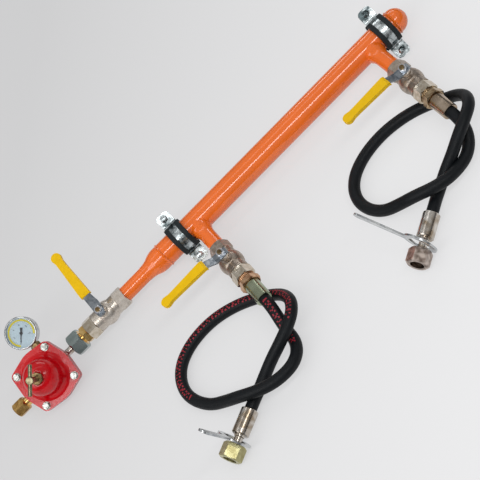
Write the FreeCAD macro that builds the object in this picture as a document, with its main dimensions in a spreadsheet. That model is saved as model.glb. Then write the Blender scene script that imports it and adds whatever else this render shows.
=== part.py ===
import FreeCAD, Part
import math
import os

import Sketcher

# A gas manifold for two cylinders, lying on a table, with its pressure regulator at one end.
# X runs along the header towards its domed cap, Z is up from the table and the branches point to -Y.
# All sizes are millimetres and degrees.

os.makedirs("parts", exist_ok=True)
doc = FreeCAD.newDocument("manifold")
V = FreeCAD.Vector
Frame = FreeCAD.Placement

SIZES = {
    "header": {
        "header_od": 42.4, "header_wall": 3.2, "branch_a_x": -23.8, "branch_spacing": 401.0,
        "header_left": 75.2, "header_right": 55.3, "header_y": 58.6, "header_z": 36.5,
        "weld_bead": 2.3, "cap_skirt": 4.2, "reducer_len": 44.0, "reducer_skirt": 7.0,
        "pipe_od": 26.9, "pipe_wall": 2.6, "inlet_len": 48.0, "branch_len": 74.0,
        "flare_r": 17.6, "flare_start": 23.0, "flare_end": 37.0, "thread_len": 14.0,
        "joint_gap": 0.05,
    },
    "clamp": {
        "face_tilt": 42.5, "clamp_a_gap": 33.2, "clamp_b_gap": 34.5, "liner_wall": 3.0,
        "liner_w": 30.0, "lip_w": 8.0, "lip_wall": 1.9, "band_wall": 2.0, "band_w": 25.0,
        "lug_reach": 50.9, "lug_gap": 0.8, "lug_bend_r": 6.0, "lug_corner_r": 7.0, "lug_screw_y": 41.5,
        "screw_r": 2.95, "screw_head_r": 6.0, "screw_head_h": 3.6, "screw_len": 9.5,
        "boss_r": 6.8, "boss_len": 17.0, "boss_bore_r": 3.4, "liner_split": 8.2,
    },
    "valve": {
        "main_valve_tilt": 22.0, "main_lever_swing": 3.2, "valve_len": 87.0, "valve_af": 33.0,
        "valve_hex_len": 18.0,
        "valve_neck_r": 17.0, "valve_ball_r": 20.3, "valve_rim_r": 17.6, "valve_rim_end": 24.0,
        "port_r": 9.4, "ball_r": 13.4, "ball_bore_r": 8.9, "cavity_r": 14.2, "seat_len": 4.0,
        "cavity_half": 13.9,
        "stem_boss_r": 9.5, "stem_boss_top": 27.0, "stem_r": 4.0, "stem_collar_r": 6.0,
        "stem_collar_low": 14.8, "stem_collar_top": 17.4, "stem_top": 43.6,
        "gland_r": 6.9, "gland_low": 22.5, "gland_af": 15.0, "gland_top": 32.6,
        "spin_gap": 0.05, "lever_low": 33.2, "lever_wall": 2.6, "lever_half_w": 8.4,
        "lever_arm_half_w": 6.6, "lever_back": 10.5, "lever_len": 119.0, "crank_start": 15.0,
        "crank_end": 34.0, "crank_rise": 11.0, "grip_start": 30.0, "grip_wall": 2.2,
        "grip_tip": 3.0, "grip_side": 1.5, "grip_bulb_r": 9.0, "nut_af": 13.0, "nut_h": 6.0, "slot_half_w": 3.0, "slot_depth": 3.2,
    },
    "regulator": {
        "regulator_gap": 97.0, "regulator_tilt": 35.0, "regulator_turn": 2.4,
        "port_offset": 5.2, "outlet_drop": 8.8, "flange_r": 49.0, "bolt_circle_r": 48.0, "lobe_r": 9.0,
        "flange_low": 12.0, "lower_flange_t": 8.0, "diaphragm_t": 1.6, "upper_flange_t": 7.0,
        "bolt_r": 3.0, "bolt_hole_r": 3.3, "bolt_af": 10.5, "bolt_head_h": 5.0, "washer_r": 6.6,
        "washer_t": 1.2, "body_r": 28.0, "body_back": 20.0, "port_boss_r": 13.5, "port_reach": 39.0,
        "port_bore_r": 6.55, "gauge_boss_r": 9.0, "gauge_boss_reach": 38.0, "gauge_x": 19.0,
        "chamber_r": 35.0, "chamber_depth": 6.5, "guide_r": 4.0, "plunger_len": 22.0,
        "skirt_r": 37.0, "dome_r": 30.0, "dome_low": 44.0, "dome_high": 60.0, "crown_r": 13.0,
        "crown_top": 79.0, "bonnet_wall": 4.0, "spring_room_r": 19.0, "spring_room_top": 70.0,
        "screw_thread_r": 4.8, "screw_top": 125.5, "screw_head_dia": 13.0, "tee_r": 3.25,
        "tee_len": 50.0, "tee_z": 120.5, "tee_turn": 43.6, "bonnet_nut_af": 19.0, "bonnet_nut_h": 7.0,
        "spring_r": 13.0, "spring_wire": 3.2, "spring_turns": 5.0, "plate_r": 16.5, "plate_t": 4.0,
        "plate_low": 58.0,
    },
    "gauge": {
        "gauge_reach": 82.0, "gauge_r": 27.0, "gauge_depth": 26.0, "bezel_r": 27.8, "bezel_w": 6.0,
        "bezel_lip": 2.6, "case_wall": 1.5, "dial_below_rim": 5.0, "dial_t": 1.0, "lens_t": 1.6,
        "lens_below_rim": 0.8, "needle_len": 18.5, "needle_tail": 9.0, "needle_w": 2.2,
        "needle_t": 0.5, "needle_hub_r": 2.8, "needle_pin_r": 0.55, "needle_turn": 222.0, "gauge_stem_af": 16.0,
        "gauge_stem_bore": 2.5, "gauge_thread_r": 6.4, "gauge_thread_len": 9.0,
    },
    "unions": {
        "tailpiece_r": 6.5, "tailpiece_bore": 4.5, "tailpiece_len": 27.0, "cone_r": 12.0,
        "cone_len": 6.0, "union_af": 36.5, "union_len": 23.0, "union_thread_r": 15.0,
        "union_lip": 4.0, "nipple_af": 28.0, "nipple_hex_len": 10.0, "nipple_neck_r": 10.0,
        "nipple_neck_len": 3.5, "outlet_stub_r": 8.6, "outlet_stub_bore": 5.0, "outlet_gap": 21.0,
        "outlet_nut_af": 24.0, "outlet_nut_len": 23.0, "outlet_collar_r": 10.0, "outlet_thread_r": 10.2,
        "outlet_nut_lip": 4.0, "outlet_relief_r": 10.8, "outlet_relief_len": 6.1, "swivel_gap": 0.08,
    },
    "hoses": {
        "hose_od": 19.3, "adapter_neck_r": 14.5, "adapter_neck_len": 6.0, "adapter_af": 32.0,
        "adapter_hex_len": 10.5, "ferrule_r": 13.5, "start_ferrule_len": 37.0, "end_ferrule_len": 41.0,
        "tail_r": 6.8, "tail_bore": 3.6, "tail_collar_r": 10.2, "tail_collar_t": 6.0,
        "end_nut_af": 32.0, "end_nut_len": 24.0, "end_nut_lip": 5.0, "end_nut_thread_r": 10.7,
        "end_relief_r": 11.3, "end_relief_len": 11.1, "tail_gap_a": 16.0,
        "tail_gap_b": 21.0, "first_run": 18.0, "spanner_ring_r": 27.0, "spanner_af": 33.0, "spanner_t": 3.0,
        "spanner_reach": 110.0, "spanner_half_w": 8.0, "spanner_neck_half_w": 6.5,
    },
}

# Sizes that follow from the ones above, as formulas of the sheet.
DERIVED = {
    "header_r": "header_od / 2",
    "header_bore_r": "header_od / 2 - header_wall",
    "header_len": "header_left + branch_spacing + header_right",
    "pipe_r": "pipe_od / 2",
    "pipe_bore_r": "pipe_od / 2 - pipe_wall",
    "socket_r": "pipe_od / 2 + joint_gap",
    "band_in_r": "header_od / 2 + liner_wall + joint_gap",
    "band_out_r": "header_od / 2 + liner_wall + joint_gap + band_wall",
    "lug_top": "lug_gap + band_wall",
    "bend_y": "sqrt((header_od / 2 + liner_wall + joint_gap + band_wall + lug_bend_r) ^ 2"
              " - (lug_gap + band_wall + lug_bend_r) ^ 2)",
    "half_valve": "valve_len / 2",
    "ball_flat": "sqrt(ball_r ^ 2 - ball_bore_r ^ 2)",
    "plate_z": "flange_low + lower_flange_t",
    "bonnet_low": "flange_low + lower_flange_t + diaphragm_t",
    "bonnet_seat": "flange_low + lower_flange_t + diaphragm_t + upper_flange_t",
    "hose_r": "hose_od / 2",
}

sheet = doc.addObject("Spreadsheet::Sheet", "Sizes")
row = 0
for group in SIZES.values():
    for alias, number in group.items():
        row += 1
        sheet.set("A%d" % row, alias)
        sheet.set("B%d" % row, str(number))
        sheet.setAlias("B%d" % row, alias)
for alias, formula in DERIVED.items():
    row += 1
    sheet.set("A%d" % row, alias)
    sheet.set("B%d" % row, "=" + formula)
    sheet.setAlias("B%d" % row, alias)
doc.recompute()

NAMES = [alias for group in SIZES.values() for alias in group] + list(DERIVED)
NAMES.sort(key=len, reverse=True)


def size(alias):
    return float(sheet.get(alias))


def bound(text):
    """An expression on the sheet's aliases, such as 'pipe_od / 2', as the document wants it."""
    words = []
    word = ""
    for letter in text + " ":
        if letter.isalnum() or letter == "_":
            word += letter
            continue
        words.append("Sizes." + word if word in NAMES else word)
        words.append(letter)
        word = ""
    return "".join(words).strip()


def number(text):
    return float(sheet.evalExpression(bound(str(text))))


def bind(item, prop, text):
    """Gives a property its value now and its formula for later."""
    item.setExpression(prop, bound(str(text)))


def plain(kind, name, props, at=None):
    item = doc.addObject(kind, name)
    for prop, text in props.items():
        bind(item, prop, text)
    if at is not None:
        item.Placement = at
    return item


def rod(name, radius, length, at=None):
    return plain("Part::Cylinder", name, {"Radius": radius, "Height": length}, at)


def ball(name, radius, at=None):
    return plain("Part::Sphere", name, {"Radius": radius}, at)


def block(name, length, width, height, at=None):
    return plain("Part::Box", name, {"Length": length, "Width": width, "Height": height}, at)


def hexagon(name, across_flats, height, at=None):
    item = plain("Part::Prism", name, {"Circumradius": "(%s) / sqrt(3)" % across_flats, "Height": height}, at)
    item.Polygon = 6
    return item


def shifted(x=0.0, y=0.0, z=0.0, axis=None, angle=0.0):
    turn = FreeCAD.Rotation(axis, angle) if axis else FreeCAD.Rotation()
    return Frame(V(x, y, z), turn)


def aimed(origin, forward, side):
    """A frame whose Z points forward and whose X points as near to side as it can."""
    forward = V(forward).normalize()
    side = V(side) - forward * V(side).dot(forward)
    return Frame(V(origin), FreeCAD.Rotation(side.normalize(), forward.cross(side), forward, "ZXY"))


def joined(name, items):
    item = doc.addObject("Part::MultiFuse", name)
    item.Shapes = items
    return item


def cut(name, base, tools):
    tool = tools[0] if len(tools) == 1 else joined(name + "_tools", tools)
    item = doc.addObject("Part::Cut", name)
    item.Base = base
    item.Tool = tool
    return item


def shared(name, one, other):
    item = doc.addObject("Part::Common", name)
    item.Base = one
    item.Tool = other
    return item


def outline(body, name, role, points):
    """A closed sketch. A point is (x, y), or (x, y, radius, side) where an arc runs on from it."""
    sketch = body.newObject("Sketcher::SketchObject", name)
    plane = next(item for item in body.Origin.OriginFeatures if item.Role == role)
    sketch.AttachmentSupport = [(plane, "")]
    sketch.MapMode = "FlatFace"
    spots = [V(number(point[0]), number(point[1]), 0) for point in points]
    ends = []
    for index, point in enumerate(points):
        start, stop = spots[index], spots[(index + 1) % len(spots)]
        if len(point) == 2:
            sketch.addGeometry(Part.LineSegment(start, stop), False)
            ends.append((1, 2))
            continue
        radius, side = number(point[2]), point[3]
        chord = stop - start
        rise = math.sqrt(max(radius ** 2 - chord.Length ** 2 / 4, 0.0))
        centre = (start + stop) * 0.5 + V(-chord.y, chord.x, 0).normalize() * rise * side
        first, last = (start, stop) if side > 0 else (stop, start)
        angles = [math.atan2(spot.y - centre.y, spot.x - centre.x) for spot in (first, last)]
        circle = Part.Circle(centre, V(0, 0, 1), radius)
        sketch.addGeometry(Part.ArcOfCircle(circle, angles[0], angles[1]), False)
        ends.append((1, 2) if side > 0 else (2, 1))
    for index in range(len(points)):
        after = (index + 1) % len(points)
        sketch.addConstraint(Sketcher.Constraint("Coincident", index, ends[index][1], after, ends[after][0]))
    for index, point in enumerate(points):
        corner = ends[index][0]
        for kind, text, spot, axis in (("DistanceX", point[0], spots[index].x, -2),
                                       ("DistanceY", point[1], spots[index].y, -1)):
            if abs(spot) < 1e-9:
                sketch.addConstraint(Sketcher.Constraint("PointOnObject", index, corner, axis))
                continue
            count = sketch.addConstraint(Sketcher.Constraint(kind, -1, 1, index, corner, spot))
            sketch.setExpression("Constraints[%d]" % count, bound(str(text)))
        if len(point) > 2:
            count = sketch.addConstraint(Sketcher.Constraint("Radius", index, number(point[2])))
            sketch.setExpression("Constraints[%d]" % count, bound(str(point[2])))
    return sketch


def turned(name, points, at=None):
    """A body turned about its own Z from (radius, height) points."""
    body = doc.addObject("PartDesign::Body", name)
    sketch = outline(body, name + "_profile", "XZ_Plane", points)
    feature = body.newObject("PartDesign::Revolution", name + "_turning")
    feature.Profile = sketch
    feature.ReferenceAxis = (sketch, ["V_Axis"])
    feature.Angle = 360
    if at is not None:
        body.Placement = at
    return body


def plate(name, points, thickness, role="XY_Plane", middle=False, at=None):
    """A body padded from an outline."""
    body = doc.addObject("PartDesign::Body", name)
    sketch = outline(body, name + "_profile", role, points)
    feature = body.newObject("PartDesign::Pad", name + "_pad")
    feature.Profile = sketch
    bind(feature, "Length", thickness)
    feature.Midplane = middle
    if at is not None:
        body.Placement = at
    return body


def hex_blank(name, across_flats, length, chamfer, at=None):
    """A hexagonal blank with its corners turned off at both ends."""
    corner = "(%s) / sqrt(3)" % across_flats
    envelope = turned(name + "_envelope", [
        ("0", "0"), ("(%s) / 2 * 0.98" % across_flats, "0"), (corner, chamfer),
        (corner, "%s - %s" % (length, chamfer)), ("(%s) / 2 * 0.98" % across_flats, length), ("0", length)])
    item = shared(name, hexagon(name + "_stock", across_flats, length), envelope)
    if at is not None:
        item.Placement = at
    return item


# Axes that the pieces share.

AXIS_Y, AXIS_Z = size("header_y"), size("header_z")
BRANCH_X = {"a": size("branch_a_x"), "b": size("branch_a_x") + size("branch_spacing")}
HEADER_X0 = size("branch_a_x") - size("header_left")
HEADER_X1 = HEADER_X0 + size("header_len")
PIPE_X0 = HEADER_X0 - size("reducer_len") - size("inlet_len")
MAIN_VALVE_X = PIPE_X0 - size("half_valve")
VALVE_LEFT = PIPE_X0 - size("valve_len")
REGULATOR_X = VALVE_LEFT - size("regulator_gap")
ALONG = V(1, 0, 0)


def tilted(angle):
    """The direction that leans from straight up towards the branches."""
    return V(0, -math.sin(math.radians(angle)), math.cos(math.radians(angle)))


def on_axis(x, forward=ALONG, side=V(0, 0, 1)):
    return aimed(V(x, AXIS_Y, AXIS_Z), forward, side)


def facing(x):
    """The frame of the clamps and the regulator: X along the header, Z out of the face."""
    return aimed(V(x, AXIS_Y, AXIS_Z), tilted(size("face_tilt")), ALONG)


def branch_frame(key, distance):
    """Z along the branch away from the header, X straight up."""
    return aimed(V(BRANCH_X[key], AXIS_Y - distance, AXIS_Z), V(0, -1, 0), V(0, 0, 1))


nodes = {}


def node(name, item, at=None):
    item.Label = name
    if at is not None:
        item.Placement = at
    nodes[name] = item
    return item


def group(name, items):
    """Like pieces that share a node."""
    item = doc.addObject("Part::Compound", name)
    item.Links = items
    return node(name, item)


def copy_of(name, source, at):
    item = doc.addObject("Part::Feature", name)
    doc.recompute()
    shape = source.Shape.copy()
    shape.Placement = Frame()
    item.Shape = shape
    item.Placement = at
    return item


# Header, cap, reducer, inlet pipe and branch stubs

header = rod("header_tube", "header_r", "header_len")
header_bore = rod("header_bore", "header_bore_r", "header_len")
header_holes = []
for key in "ab":
    distance = BRANCH_X[key] - HEADER_X0
    header_holes.append(rod("branch_hole_" + key, "pipe_bore_r", "header_od",
                            aimed(V(0, 0, distance), V(0, 1, 0), V(0, 0, 1))))
node("header_pipe", cut("header_cut", header, [header_bore] + header_holes),
     aimed(V(HEADER_X0, AXIS_Y, AXIS_Z), ALONG, V(0, 0, 1)))


def bead_points(radius, half, low):
    """A weld bead that stands proud of a tube, as two arcs about the height low."""
    return [(radius, "%s - %s" % (low, half)), ("%s + %s * 0.7" % (radius, half), low),
            (radius, "%s + %s" % (low, half))]


cap_outer = turned("cap_outer", [
    ("0", "0"), ("header_r", "0"), ("header_r", "cap_skirt", "header_r", 1),
    ("0", "cap_skirt + header_r")])
cap_bead = turned("cap_bead", bead_points("header_r", "weld_bead", "0"))
cap_inner = turned("cap_inner", [
    ("0", "0"), ("header_bore_r", "0"), ("header_bore_r", "cap_skirt", "header_bore_r", 1),
    ("0", "cap_skirt + header_bore_r")])
node("end_cap", cut("cap_cut", joined("cap_welded", [cap_outer, cap_bead]), [cap_inner]), on_axis(HEADER_X1))

reducer_outer = turned("reducer_outer", [
    ("0", "0"), ("header_r", "0"), ("header_r", "reducer_skirt", "reducer_len", 1),
    ("(header_r + pipe_r) / 2 + 0.6", "(reducer_skirt + reducer_len) / 2", "reducer_len", -1),
    ("pipe_r + 0.6", "reducer_len"), ("0", "reducer_len")])
reducer_inner = turned("reducer_inner", [
    ("0", "0"), ("header_bore_r", "0"), ("header_bore_r", "reducer_skirt"),
    ("pipe_bore_r", "reducer_len"), ("0", "reducer_len")])
reducer_beads = [turned("reducer_bead_big", bead_points("header_r", "weld_bead", "0")),
                 turned("reducer_bead_small", bead_points("pipe_r", "weld_bead * 0.45", "reducer_len"))]
node("reducer", cut("reducer_cut", joined("reducer_welded", [reducer_outer] + reducer_beads), [reducer_inner]),
     on_axis(HEADER_X0, -ALONG))

node("inlet_pipe", turned("inlet_tube", [
    ("pipe_bore_r", "0"), ("pipe_r", "0"), ("pipe_r", "inlet_len + thread_len"),
    ("pipe_bore_r", "inlet_len + thread_len")]), on_axis(HEADER_X0 - size("reducer_len"), -ALONG))

stubs = []
for key in "ab":
    stub = turned("stub_" + key, [
        ("pipe_bore_r", "0"), ("flare_r", "0"), ("flare_r", "flare_start", "flare_end", -1),
        ("pipe_r", "flare_end"), ("pipe_r", "branch_len + thread_len"),
        ("pipe_bore_r", "branch_len + thread_len")])
    saddle = rod("saddle_" + key, "header_r", "header_od * 2", shifted(-size("header_od"), 0, 0, V(0, 1, 0), 90))
    trimmed = cut("branch_stub_" + key, stub, [saddle])
    trimmed.Placement = aimed(V(BRANCH_X[key], AXIS_Y, AXIS_Z), V(0, -1, 0), ALONG)
    stubs.append(trimmed)
group("branch_stubs", stubs)

# Pipe clamps: two pressed halves, a channel of rubber and two screws, on a threaded boss

strip = [
    ("lug_reach", "lug_gap"), ("sqrt(band_in_r ^ 2 - lug_gap ^ 2)", "lug_gap", "band_in_r", 1),
    ("0", "band_in_r", "band_in_r", 1),
    ("-sqrt(band_in_r ^ 2 - lug_gap ^ 2)", "lug_gap"), ("-lug_reach", "lug_gap"), ("-lug_reach", "lug_top"),
    ("-bend_y", "lug_top", "lug_bend_r", 1),
    ("-bend_y * band_out_r / (band_out_r + lug_bend_r)",
     "(lug_top + lug_bend_r) * band_out_r / (band_out_r + lug_bend_r)", "band_out_r", -1),
    ("0", "band_out_r", "band_out_r", -1),
    ("bend_y * band_out_r / (band_out_r + lug_bend_r)",
     "(lug_top + lug_bend_r) * band_out_r / (band_out_r + lug_bend_r)", "lug_bend_r", 1),
    ("bend_y", "lug_top"), ("lug_reach", "lug_top")]

CLAMP_X = {"a": BRANCH_X["a"] - size("clamp_a_gap"), "b": BRANCH_X["b"] + size("clamp_b_gap")}
ACROSS = aimed(V(0, 0, 0), ALONG, V(0, 1, 0))


def half_clamp(name, hole_radius):
    """Half a clamp, its strip padded along X and two screw holes through its lugs."""
    bent = plate(name + "_strip", strip, "band_w", "XY_Plane", True, ACROSS)
    plan = plate(name + "_plan", [
        ("lug_corner_r - band_w / 2", "-lug_reach"), ("band_w / 2 - lug_corner_r", "-lug_reach", "lug_corner_r", 1),
        ("band_w / 2", "lug_corner_r - lug_reach"), ("band_w / 2", "lug_reach - lug_corner_r", "lug_corner_r", 1),
        ("band_w / 2 - lug_corner_r", "lug_reach"), ("lug_corner_r - band_w / 2", "lug_reach", "lug_corner_r", 1),
        ("-band_w / 2", "lug_reach - lug_corner_r"), ("-band_w / 2", "lug_corner_r - lug_reach", "lug_corner_r", 1)],
        "header_od * 4", "XY_Plane", True)
    half = shared(name + "_blank", bent, plan)
    holes = [rod("%s_hole_%d" % (name, side + 1), hole_radius, "lug_top * 3",
                 shifted(0, side * size("lug_screw_y"), -size("lug_gap"))) for side in (-1, 1)]
    return cut(name, half, holes)


fronts, backs, liners, screws = [], [], [], []
for key in "ab":
    seat = facing(CLAMP_X[key])
    front = half_clamp("clamp_front_" + key, "screw_r + 0.4")
    front.Placement = seat
    fronts.append(front)
    pressed = half_clamp("clamp_back_half_" + key, "screw_r + joint_gap")
    pressed.Placement = shifted(0, 0, 0, V(1, 0, 0), 180)
    boss = rod("clamp_boss_" + key, "boss_r", "boss_len + band_wall / 2",
               shifted(0, 0, -size("band_out_r") - size("boss_len")))
    boss_bore = rod("clamp_boss_bore_" + key, "boss_bore_r", "boss_len",
                    shifted(0, 0, -size("band_out_r") - size("boss_len")))
    curve = rod("clamp_inside_" + key, "band_in_r", "band_w * 2", shifted(-size("band_w"), 0, 0, V(0, 1, 0), 90))
    back = cut("clamp_back_" + key, joined("clamp_back_welded_" + key, [pressed, boss]), [boss_bore, curve])
    back.Placement = seat
    backs.append(back)
    channel = turned("liner_channel_" + key, [
        ("header_r + joint_gap / 2", "-liner_w / 2"), ("band_out_r + lip_wall", "-liner_w / 2"),
        ("band_out_r + lip_wall", "lip_w - liner_w / 2"), ("band_out_r + joint_gap", "lip_w - liner_w / 2"),
        ("band_out_r + joint_gap", "-band_w / 2 - joint_gap"), ("band_in_r - joint_gap / 2", "-band_w / 2 - joint_gap"),
        ("band_in_r - joint_gap / 2", "band_w / 2 + joint_gap"), ("band_out_r + joint_gap", "band_w / 2 + joint_gap"),
        ("band_out_r + joint_gap", "liner_w / 2 - lip_w"), ("band_out_r + lip_wall", "liner_w / 2 - lip_w"),
        ("band_out_r + lip_wall", "liner_w / 2"), ("header_r + joint_gap / 2", "liner_w / 2")], ACROSS)
    gap = block("liner_gap_" + key, "liner_w * 2", "header_od * 2", "liner_split * 2",
                shifted(-size("liner_w"), -size("header_od"), -size("liner_split")))
    liner = cut("clamp_liner_" + key, channel, [gap])
    liner.Placement = seat
    liners.append(liner)
    for side in (-1, 1):
        shank = rod("clamp_shank_%s_%d" % (key, side + 1), "screw_r", "screw_len",
                    shifted(0, 0, -size("screw_len")))
        head = turned("clamp_head_%s_%d" % (key, side + 1), [
            ("0", "0"), ("screw_head_r", "0"), ("screw_head_r", "screw_head_h * 0.45", "screw_head_r * 1.4", 1),
            ("0", "screw_head_h")])
        slots = [block("clamp_slot_%s_%d_%d" % (key, side + 1, way), "7.0 + %d * (1.1 - 7.0)" % way,
                       "1.1 + %d * (7.0 - 1.1)" % way, "screw_head_h",
                       shifted(-(3.5 if way == 0 else 0.55), -(0.55 if way == 0 else 3.5),
                               size("screw_head_h") * 0.45)) for way in (0, 1)]
        screw = cut("clamp_screw_%s_%d" % (key, side + 1),
                    joined("clamp_screw_blank_%s_%d" % (key, side + 1), [shank, head]), slots)
        screw.Placement = seat.multiply(shifted(0, side * size("lug_screw_y"), size("lug_top")))
        screws.append(screw)
group("clamp_fronts", fronts)
group("clamp_backs", backs)
group("clamp_liners", liners)
group("clamp_screws", screws)

# Ball valves. Each is made along Z with its stem along X, and its handle across the pipe, shut.

SIDEWAYS = aimed(V(0, 0, 0), ALONG, V(0, 0, 1))


def valve_housing(name):
    left = hex_blank(name + "_hex", "valve_af", "valve_hex_len + 1", "1.6",
                     shifted(0, 0, -size("half_valve"), V(0, 0, 1), 30))
    middle = turned(name + "_middle", [
        ("0", "valve_hex_len - half_valve"), ("valve_neck_r", "valve_hex_len - half_valve"),
        ("valve_neck_r", "-valve_ball_r * 0.72", "valve_ball_r * 1.25", 1),
        ("valve_rim_r", "valve_ball_r * 0.55"), ("valve_rim_r", "valve_rim_end"), ("0", "valve_rim_end")])
    boss = rod(name + "_boss", "stem_boss_r", "stem_boss_top", SIDEWAYS)
    hollow = turned(name + "_hollow", [
        ("0", "-half_valve"), ("socket_r", "-half_valve"), ("socket_r", "thread_len + 1 - half_valve"),
        ("port_r", "thread_len + 3 - half_valve"), ("port_r", "-cavity_half"), ("cavity_r", "-cavity_half"),
        ("cavity_r", "valve_rim_end"), ("0", "valve_rim_end")])
    stem_way = turned(name + "_stem_way", [
        ("0", "0"), ("stem_collar_r + spin_gap", "0"), ("stem_collar_r + spin_gap", "stem_collar_top + spin_gap"),
        ("stem_r + spin_gap", "stem_collar_top + spin_gap"), ("stem_r + spin_gap", "gland_low"),
        ("gland_r", "gland_low"), ("gland_r", "stem_boss_top"), ("0", "stem_boss_top")], SIDEWAYS)
    return cut(name, joined(name + "_casting", [left, middle, boss]), [hollow, stem_way])


def valve_retainer(name):
    hexed = hex_blank(name + "_hex", "valve_af", "half_valve - valve_rim_end", "1.6",
                      shifted(0, 0, size("valve_rim_end"), V(0, 0, 1), 30))
    sleeve = rod(name + "_sleeve", "cavity_r - joint_gap", "valve_rim_end - cavity_half + 1",
                 shifted(0, 0, size("cavity_half")))
    hollow = turned(name + "_hollow", [
        ("0", "cavity_half"), ("port_r", "cavity_half"), ("port_r", "half_valve - thread_len - 3"),
        ("socket_r", "half_valve - thread_len - 1"), ("socket_r", "half_valve"), ("0", "half_valve")])
    return cut(name, joined(name + "_stock", [hexed, sleeve]), [hollow])


def valve_seat(name, side):
    ring = turned(name + "_ring", [
        ("port_r", "cavity_half - seat_len"), ("cavity_r - joint_gap", "cavity_half - seat_len"),
        ("cavity_r - joint_gap", "cavity_half - joint_gap"), ("port_r", "cavity_half - joint_gap")])
    if side < 0:
        ring.Placement = shifted(0, 0, 0, V(1, 0, 0), 180)
    return cut(name, ring, [ball(name + "_cup", "ball_r + spin_gap")])


def valve_ball(name):
    """The ball stands shut: its bore lies across the pipe."""
    drilled = turned(name + "_drilled", [
        ("ball_bore_r", "-ball_flat", "ball_r", 1), ("ball_bore_r", "ball_flat")],
        aimed(V(0, 0, 0), V(0, 1, 0), V(-1, 0, 0)))
    slot = block(name + "_slot", "ball_r", "ball_r * 4", "slot_half_w * 2",
                 shifted(size("ball_r") - size("slot_depth"), -2 * size("ball_r"), -size("slot_half_w")))
    return cut(name, drilled, [slot])


def valve_stem(name):
    post = turned(name + "_post", [
        ("0", "stem_collar_low"), ("stem_collar_r", "stem_collar_low"), ("stem_collar_r", "stem_collar_top"),
        ("stem_r", "stem_collar_top"), ("stem_r", "stem_top"), ("0", "stem_top")], SIDEWAYS)
    key_depth = size("stem_collar_low") - size("ball_r") + size("slot_depth")
    tang = block(name + "_tang", "stem_collar_low - ball_r + slot_depth", "stem_collar_r * 1.4",
                 "(slot_half_w - joint_gap) * 2",
                 shifted(size("stem_collar_low") - key_depth + size("joint_gap"), -0.7 * size("stem_collar_r"),
                         size("joint_gap") - size("slot_half_w")))
    return joined(name, [post, tang])


def lever_sheet(name, low, high, start, stop, grow):
    """The lever's side view, drawn with the arm along X and the stem along Y, padded across."""
    rise = "crank_rise"
    return plate(name, [
        (start, low), ("crank_start", low), ("crank_end", "%s + %s" % (low, rise)), (stop, "%s + %s" % (low, rise)),
        (stop, "%s + %s" % (high, rise)), ("crank_end", "%s + %s" % (high, rise)), ("crank_start", high),
        (start, high)], grow, "XY_Plane", True)


# Turns a lever drawn with its arm along X and its stem along Y so that the arm points to local +Y.
LEVER_TURN = aimed(V(0, 0, 0), V(0, 0, -1), V(0, 1, 0))


def lever_shape(name):
    side = lever_sheet(name + "_side", "lever_low", "lever_low + lever_wall", "-lever_back", "lever_len",
                       "lever_half_w * 4")
    plan = plate(name + "_plan", [
        ("0", "-lever_half_w"), ("crank_start", "-lever_half_w"), ("crank_end", "-lever_arm_half_w"),
        ("lever_len - lever_arm_half_w", "-lever_arm_half_w", "lever_arm_half_w", 1),
        ("lever_len", "0", "lever_arm_half_w", 1), ("lever_len - lever_arm_half_w", "lever_arm_half_w"),
        ("crank_end", "lever_arm_half_w"), ("crank_start", "lever_half_w"), ("0", "lever_half_w"),
        ("-lever_back", "lever_half_w * 0.7"), ("-lever_back", "-lever_half_w * 0.7")],
        "stem_top * 4", "XZ_Plane", True)
    hole = rod(name + "_eye", "stem_r + joint_gap", "stem_top * 2", shifted(0, 0, 0, V(1, 0, 0), -90))
    return cut(name, shared(name + "_sheet", side, plan), [hole])


def grip_shape(name, lever):
    """A dipped sleeve over the outer part of the lever, wider at its round tip."""
    side = lever_sheet(name + "_side", "lever_low - grip_wall", "lever_low + lever_wall + grip_wall",
                       "grip_start", "lever_len + grip_tip", "lever_half_w * 4")
    half_w = "(lever_arm_half_w + grip_side)"
    tip = "(lever_len + grip_tip)"
    bulb = "%s - grip_bulb_r" % tip
    plan = plate(name + "_plan", [
        ("grip_start", "-%s - 1.2" % half_w), ("crank_end * 1.3", "-%s - 0.8" % half_w),
        (bulb + " * 3", "1 - %s" % half_w), (bulb + " * 1.9", "1 - %s" % half_w),
        (bulb, "-grip_bulb_r", "grip_bulb_r", 1), (tip, "0", "grip_bulb_r", 1), (bulb, "grip_bulb_r"),
        (bulb + " * 1.9", "%s - 1" % half_w), (bulb + " * 3", "%s - 1" % half_w),
        ("crank_end * 1.3", "%s + 0.8" % half_w), ("grip_start", "%s + 1.2" % half_w)],
        "stem_top * 4", "XZ_Plane", True)
    return cut(name, shared(name + "_sleeve", side, plan), [lever])


VALVE_SEATS = {
    "main": aimed(V(MAIN_VALVE_X, AXIS_Y, AXIS_Z), -ALONG, tilted(size("main_valve_tilt"))),
    "a": branch_frame("a", size("branch_len") + size("half_valve")),
    "b": branch_frame("b", size("branch_len") + size("half_valve")),
}
housing = valve_housing("valve_housing")
retainer = valve_retainer("valve_retainer")
seats = [valve_seat("valve_seat_left", -1), valve_seat("valve_seat_right", 1)]
bore_ball = valve_ball("valve_bore_ball")
stem = valve_stem("valve_stem")
lever = lever_shape("valve_lever")
grip = grip_shape("valve_grip", lever)
gland = cut("valve_gland", joined("valve_gland_stock", [
    hex_blank("valve_gland_hex", "gland_af", "gland_top - stem_boss_top", "0.8", shifted(0, 0, size("stem_boss_top"))),
    rod("valve_gland_thread", "gland_r - joint_gap", "stem_boss_top - gland_low - joint_gap + 1",
        shifted(0, 0, size("gland_low") + size("joint_gap")))]),
    [rod("valve_gland_bore", "stem_r + spin_gap", "stem_top * 2")])
lever_nut = cut("valve_lever_nut", hex_blank("valve_lever_nut_hex", "nut_af", "nut_h", "1.0"),
                [rod("valve_lever_nut_bore", "stem_r + joint_gap", "nut_h * 2")])

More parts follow.
